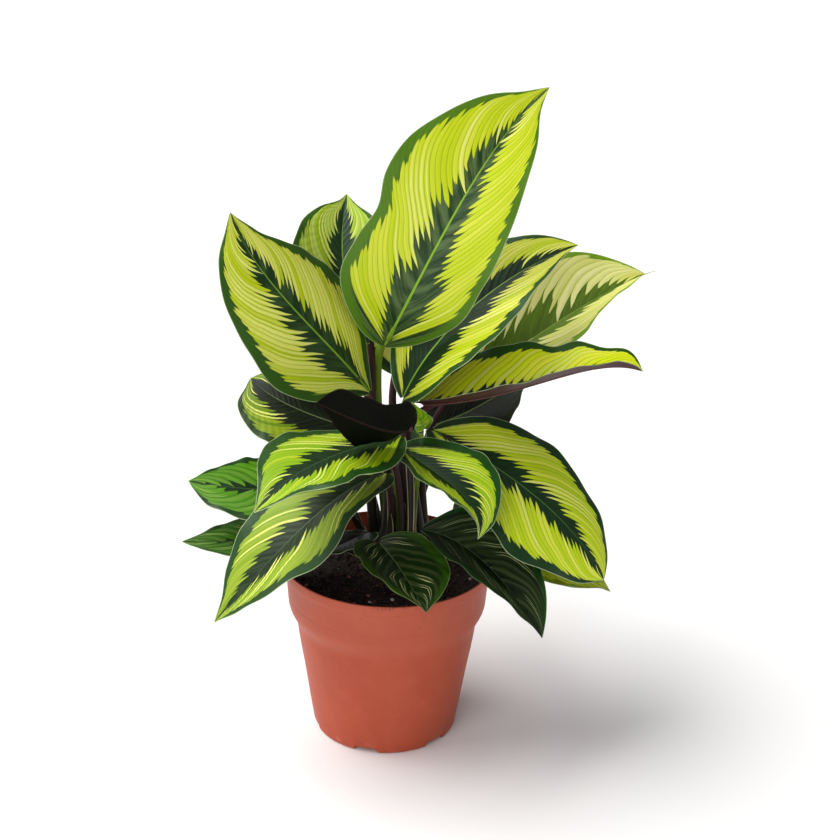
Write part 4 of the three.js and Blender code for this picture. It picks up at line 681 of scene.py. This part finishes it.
def soil():
    n, m = 150, 62
    R = 65.2
    V, F = [(0, 0, soil_height(0, 0))], []
    for i in range(1, m + 1):
        r = R * (i / m) ** 0.9
        for j in range(n):
            a = 2 * math.pi * j / n
            x, y = r * math.cos(a), r * math.sin(a)
            z = soil_height(x, y)
            if i == m:
                z = 109.0
            V.append((x, y, z))
    def ring(r, z):
        b = len(V)
        for j in range(n):
            a = 2 * math.pi * j / n
            V.append((r * math.cos(a), r * math.sin(a), z))
        return b
    b0 = ring(63.2, 90)
    b1 = ring(58.0, 77)
    b2 = ring(46.6, 5.7)
    V.append((0, 0, 5.7))
    for j in range(n):
        k = (j + 1) % n
        F.append((0, 1 + j, 1 + k))
        for i in range(m - 1):
            F.append((1 + i * n + j, 1 + (i + 1) * n + j, 1 + (i + 1) * n + k, 1 + i * n + k))
        e = 1 + (m - 1) * n
        F.append((e + j, b0 + j, b0 + k, e + k))
        F.append((b0 + j, b1 + j, b1 + k, b0 + k))
        F.append((b1 + j, b2 + j, b2 + k, b1 + k))
        F.append((b2 + j, len(V) - 1, b2 + k))
    T = Tree("potting_mix")
    co = T.obj()
    a, b, c3 = T.noise(co, 240.0, 4.0, 0.7), T.noise(co, 900.0, 3.0, 0.6), T.noise(co, 60.0, 2.0)
    c = T.mix(T.step(a, 0.35, 0.7), srgb(20, 12, 9), srgb(48, 32, 24))
    c = T.mix(T.mul(T.step(b, 0.62, 0.72), 0.5), c, srgb(104, 78, 66))
    c = T.mix(T.mul(T.step(c3, 0.5, 0.7), 0.4), c, srgb(14, 9, 7))
    T.put(T.bsdf.inputs["Base Color"], c)
    T.put(T.bsdf.inputs["Roughness"], T.fma(a, 0.3, 0.6))
    T.bump(T.add(a, T.mul(b, 0.5)), 0.8, 0.0012)
    ob = make("soil_surface", V, F, T.mat, ["potting_soil"])
    # crumbs of bark and peat, with a few pale bits
    ico = [(-0.5257, 0.0, 0.8507), (0.5257, 0.0, 0.8507), (-0.5257, 0.0, -0.8507), (0.5257, 0.0, -0.8507), (0.0, 0.8507, 0.5257), (0.0, 0.8507, -0.5257),
           (0.0, -0.8507, 0.5257), (0.0, -0.8507, -0.5257), (0.8507, 0.5257, 0.0), (-0.8507, 0.5257, 0.0), (0.8507, -0.5257, 0.0), (-0.8507, -0.5257, 0.0)]
    it = [(0, 1, 4), (0, 4, 9), (9, 4, 5), (4, 8, 5), (4, 1, 8), (8, 1, 10), (8, 10, 3), (5, 8, 3), (5, 3, 2), (2, 3, 7), (7, 3, 10), (7, 10, 6), (7, 6, 11), (11, 6, 0),
          (0, 6, 1), (6, 10, 1), (9, 11, 0), (9, 2, 11), (9, 5, 2), (7, 11, 2)]
    ico = np.array(ico)
    V, F, tint = [], [], []
    for i in range(1900):
        r = 64.5 * math.sqrt(rng.uniform(0, 1))
        a = rng.uniform(0, 2 * math.pi)
        x, y = r * math.cos(a), r * math.sin(a)
        big = rng.uniform() ** 3
        sc = np.array([0.5 + 2.6 * big, 0.4 + 1.3 * big, 0.3 + 0.9 * big]) * rng.uniform(0.7, 1.2, 3)
        if r + sc.max() > 65.6:
            continue
        q = Matrix.Rotation(rng.uniform(0, 6.28), 3, "Z") @ Matrix.Rotation(rng.uniform(-0.7, 0.7), 3, "X") @ Matrix.Rotation(rng.uniform(-0.7, 0.7), 3, "Y")
        p = (ico * (1 + rng.uniform(-0.28, 0.28, (12, 1))) * sc) @ np.array(q).T
        p += np.array([x, y, soil_height(x, y) + sc[2] * 0.35])
        p[:, 2] = np.minimum(p[:, 2], 114.5)
        b = len(V)
        V += p.tolist()
        F += [(b + f[0], b + f[1], b + f[2]) for f in it]
        tint += [rng.uniform()] * 12
    T = Tree("soil_crumbs")
    co = T.obj()
    tn = T.attr("tint")
    a = T.noise(co, 700.0, 3.0, 0.6)
    c = T.mix(T.step(tn, 0.2, 0.85), srgb(24, 15, 11), srgb(64, 42, 31))
    c = T.mix(T.step(tn, 0.90, 0.92), c, srgb(148, 106, 92))
    c = T.mix(T.step(tn, 0.982, 0.985), c, srgb(214, 202, 194))
    c = T.mix(T.mul(T.step(a, 0.4, 0.65), 0.5), c, srgb(16, 10, 8))
    T.put(T.bsdf.inputs["Base Color"], c)
    T.put(T.bsdf.inputs["Roughness"], T.fma(a, 0.3, 0.55))
    T.bump(a, 0.5, 0.0006)
    make("soil_crumbs", V, F, T.mat, [], {"tint": tint})
    # root fibres, a few of them hanging over the rim at the front
    V, F = [], []
    def fibre(pts, r):
        v, f, _ = tube(bez(pts, np.linspace(0, 1, 12)), r * np.linspace(1, 0.35, 12), 6, (0.3, 0.2, 1))
        b = len(V)
        V.extend(v.tolist())
        F.extend([tuple(b + x for x in q) for q in f])
    for i in range(150):
        r = 62 * math.sqrt(rng.uniform(0, 1))
        a = rng.uniform(0, 2 * math.pi)
        p0 = np.array([r * math.cos(a), r * math.sin(a), 0])
        L_ = rng.uniform(4, 15)
        pts = [p0]
        d = rng.uniform(0, 2 * math.pi)
        for j in range(3):
            d += rng.uniform(-1.2, 1.2)
            pts.append(pts[-1] + np.array([math.cos(d), math.sin(d), 0]) * L_ / 3)
        pts = [np.array([p[0], p[1], soil_height(p[0], p[1]) + rng.uniform(0.2, 1.4)]) for p in pts]
        if max(math.hypot(p[0], p[1]) for p in pts) > 65:
            continue
        fibre(pts, rng.uniform(0.12, 0.34))
    for i in range(11):
        a = math.radians(-90 + rng.uniform(-9, 3) + 0.9 * i)
        d = np.array([math.cos(a), math.sin(a), 0])
        s = np.array([-d[1], d[0], 0])
        e = rng.uniform(0.2, 3.4)
        fibre([d * 62 + [0, 0, 112.5], d * 67.6 + s * rng.uniform(-2, 2) + [0, 0, 124.6], d * 70.8 + s * rng.uniform(-1, 1) + [0, 0, 124.2], d * 70.75 + s * rng.uniform(-1.2, 1.2) + [0, 0, 123.0 - e]], rng.uniform(0.14, 0.27))
    T = Tree("root_fibres")
    a = T.noise(T.obj(), 300.0, 2.0)
    T.put(T.bsdf.inputs["Base Color"], T.mix(T.step(a, 0.35, 0.7), srgb(34, 20, 14), srgb(82, 54, 38)))
    T.bsdf.inputs["Roughness"].default_value = 0.7
    T.bump(a, 0.3, 0.0003)
    make("root_fibres", V, F, T.mat, [])


def crown():
    n, m = 48, 16
    V, F = [], []
    for i in range(m + 1):
        f = i / m
        r = 28.2 * math.sin(f * math.pi / 2)
        for j in range(n):
            a = 2 * math.pi * j / n
            x, y = 9 + r * math.cos(a), 6 + r * math.sin(a)
            z = 109.7 + 2.6 * math.cos(f * math.pi / 2) ** 0.7 + 0.9 * fbm(x, y, 2.0, 0.22) * (1 - f ** 3)
            V.append((x, y, min(z, 113.6)))
    b = len(V)
    for j in range(n):
        a = 2 * math.pi * j / n
        V.append((9 + 28.0 * math.cos(a), 6 + 28.0 * math.sin(a), 108.9))
    V.append((9, 6, 108.9))
    for i in range(m):
        for j in range(n):
            k = (j + 1) % n
            F.append((i * n + j, (i + 1) * n + j, (i + 1) * n + k, i * n + k))
    for j in range(n):
        k = (j + 1) % n
        F.append((m * n + j, b + j, b + k, m * n + k))
        F.append((b + j, len(V) - 1, b + k))
    T = Tree("rhizome")
    co = T.obj()
    a, c3 = T.noise(co, 260.0, 4.0, 0.7), T.noise(co, 90.0, 2.0)
    c = T.mix(T.step(a, 0.35, 0.7), srgb(26, 18, 12), srgb(58, 44, 28))
    c = T.mix(T.mul(T.step(c3, 0.55, 0.7), 0.5), c, srgb(92, 74, 46))
    T.put(T.bsdf.inputs["Base Color"], c)
    T.put(T.bsdf.inputs["Roughness"], T.fma(a, 0.3, 0.5))
    T.bump(a, 0.6, 0.001)
    make("crown_clump", V, F, T.mat, ["rhizome_crown"])


pot()
soil()
crown()
KINDS = {"top_large": "green", "upper_right": "green", "centre_right": "green", "young_rolled": "green", "front_dark": "dark", "low_left_dark": "dark", "low_right_dark": "dark"}
for i, (name, L) in enumerate(LEAVES.items()):
    leaf(name, L, i + 1)
    stalk(name, L, i + 1.5, KINDS.get(name, "maroon"))

# ---------------------------------------------------------------- stage
fm = Tree("floor")
fm.bsdf.inputs["Base Color"].default_value = (0.94, 0.94, 0.945, 1)
fm.bsdf.inputs["Roughness"].default_value = 0.9
fm.bsdf.inputs["Specular IOR Level"].default_value = 0.0
me = bpy.data.meshes.new("floor")
me.from_pydata([(-80, -80, -0.0002), (80, -80, -0.0002), (80, 80, -0.0002), (-80, 80, -0.0002)], [], [(0, 1, 2, 3)])
me.materials.append(fm.mat)
floor = bpy.data.objects.new("floor", me)
bpy.context.scene.collection.objects.link(floor)

world = bpy.data.worlds.new("world")
world.use_nodes = True
bg = world.node_tree.nodes["Background"]
bg.inputs[0].default_value = (1.0, 1.0, 1.0, 1)
bg.inputs[1].default_value = 0.29
wn = world.node_tree
lp, bw, mx = wn.nodes.new("ShaderNodeLightPath"), wn.nodes.new("ShaderNodeBackground"), wn.nodes.new("ShaderNodeMixShader")
bw.inputs[0].default_value, bw.inputs[1].default_value = (1, 1, 1, 1), 1.1
wn.links.new(lp.outputs["Is Camera Ray"], mx.inputs[0])
wn.links.new(bg.outputs[0], mx.inputs[1])
wn.links.new(bw.outputs[0], mx.inputs[2])
wn.links.new(mx.outputs[0], wn.nodes["World Output"].inputs[0])
bpy.context.scene.world = world


def sun(name, frm, strength, angle, colour=(1, 1, 1)):
    d = bpy.data.lights.new(name, "SUN")
    d.energy, d.angle, d.color = strength, math.radians(angle), colour
    o = bpy.data.objects.new(name, d)
    o.rotation_mode = "QUATERNION"
    o.rotation_quaternion = Vector(frm).to_track_quat("Z", "Y")
    bpy.context.scene.collection.objects.link(o)


sun("key", (-0.53, 0.07, 0.84), 3.35, 50, (1.0, 0.985, 0.955))
sun("front", (-0.34, -0.84, 0.42), 1.15, 50)

cam = bpy.data.cameras.new("camera")
cam.lens, cam.sensor_width = 79.7, 36.0
co = bpy.data.objects.new("camera", cam)
bpy.context.scene.collection.objects.link(co)
el, roll, D = math.radians(23.12), math.radians(1.56), 1.2
tgt = np.array([0.0189, 0, 0.2225])
f = np.array([0, math.cos(el), -math.sin(el)])
r = np.array([1.0, 0, 0])
u_ = np.array([0, math.sin(el), math.cos(el)])
r3 = r * math.cos(roll) + u_ * math.sin(roll)
u3 = u_ * math.cos(roll) - r * math.sin(roll)
pos = tgt - f * D
co.matrix_world = Matrix(((r3[0], u3[0], -f[0], pos[0]), (r3[1], u3[1], -f[1], pos[1]), (r3[2], u3[2], -f[2], pos[2]), (0, 0, 0, 1)))
cam.clip_start, cam.clip_end = 0.05, 40
bpy.context.scene.camera = co
bpy.context.scene.view_settings.view_transform = "Standard"
bpy.context.scene.view_settings.look = "None"
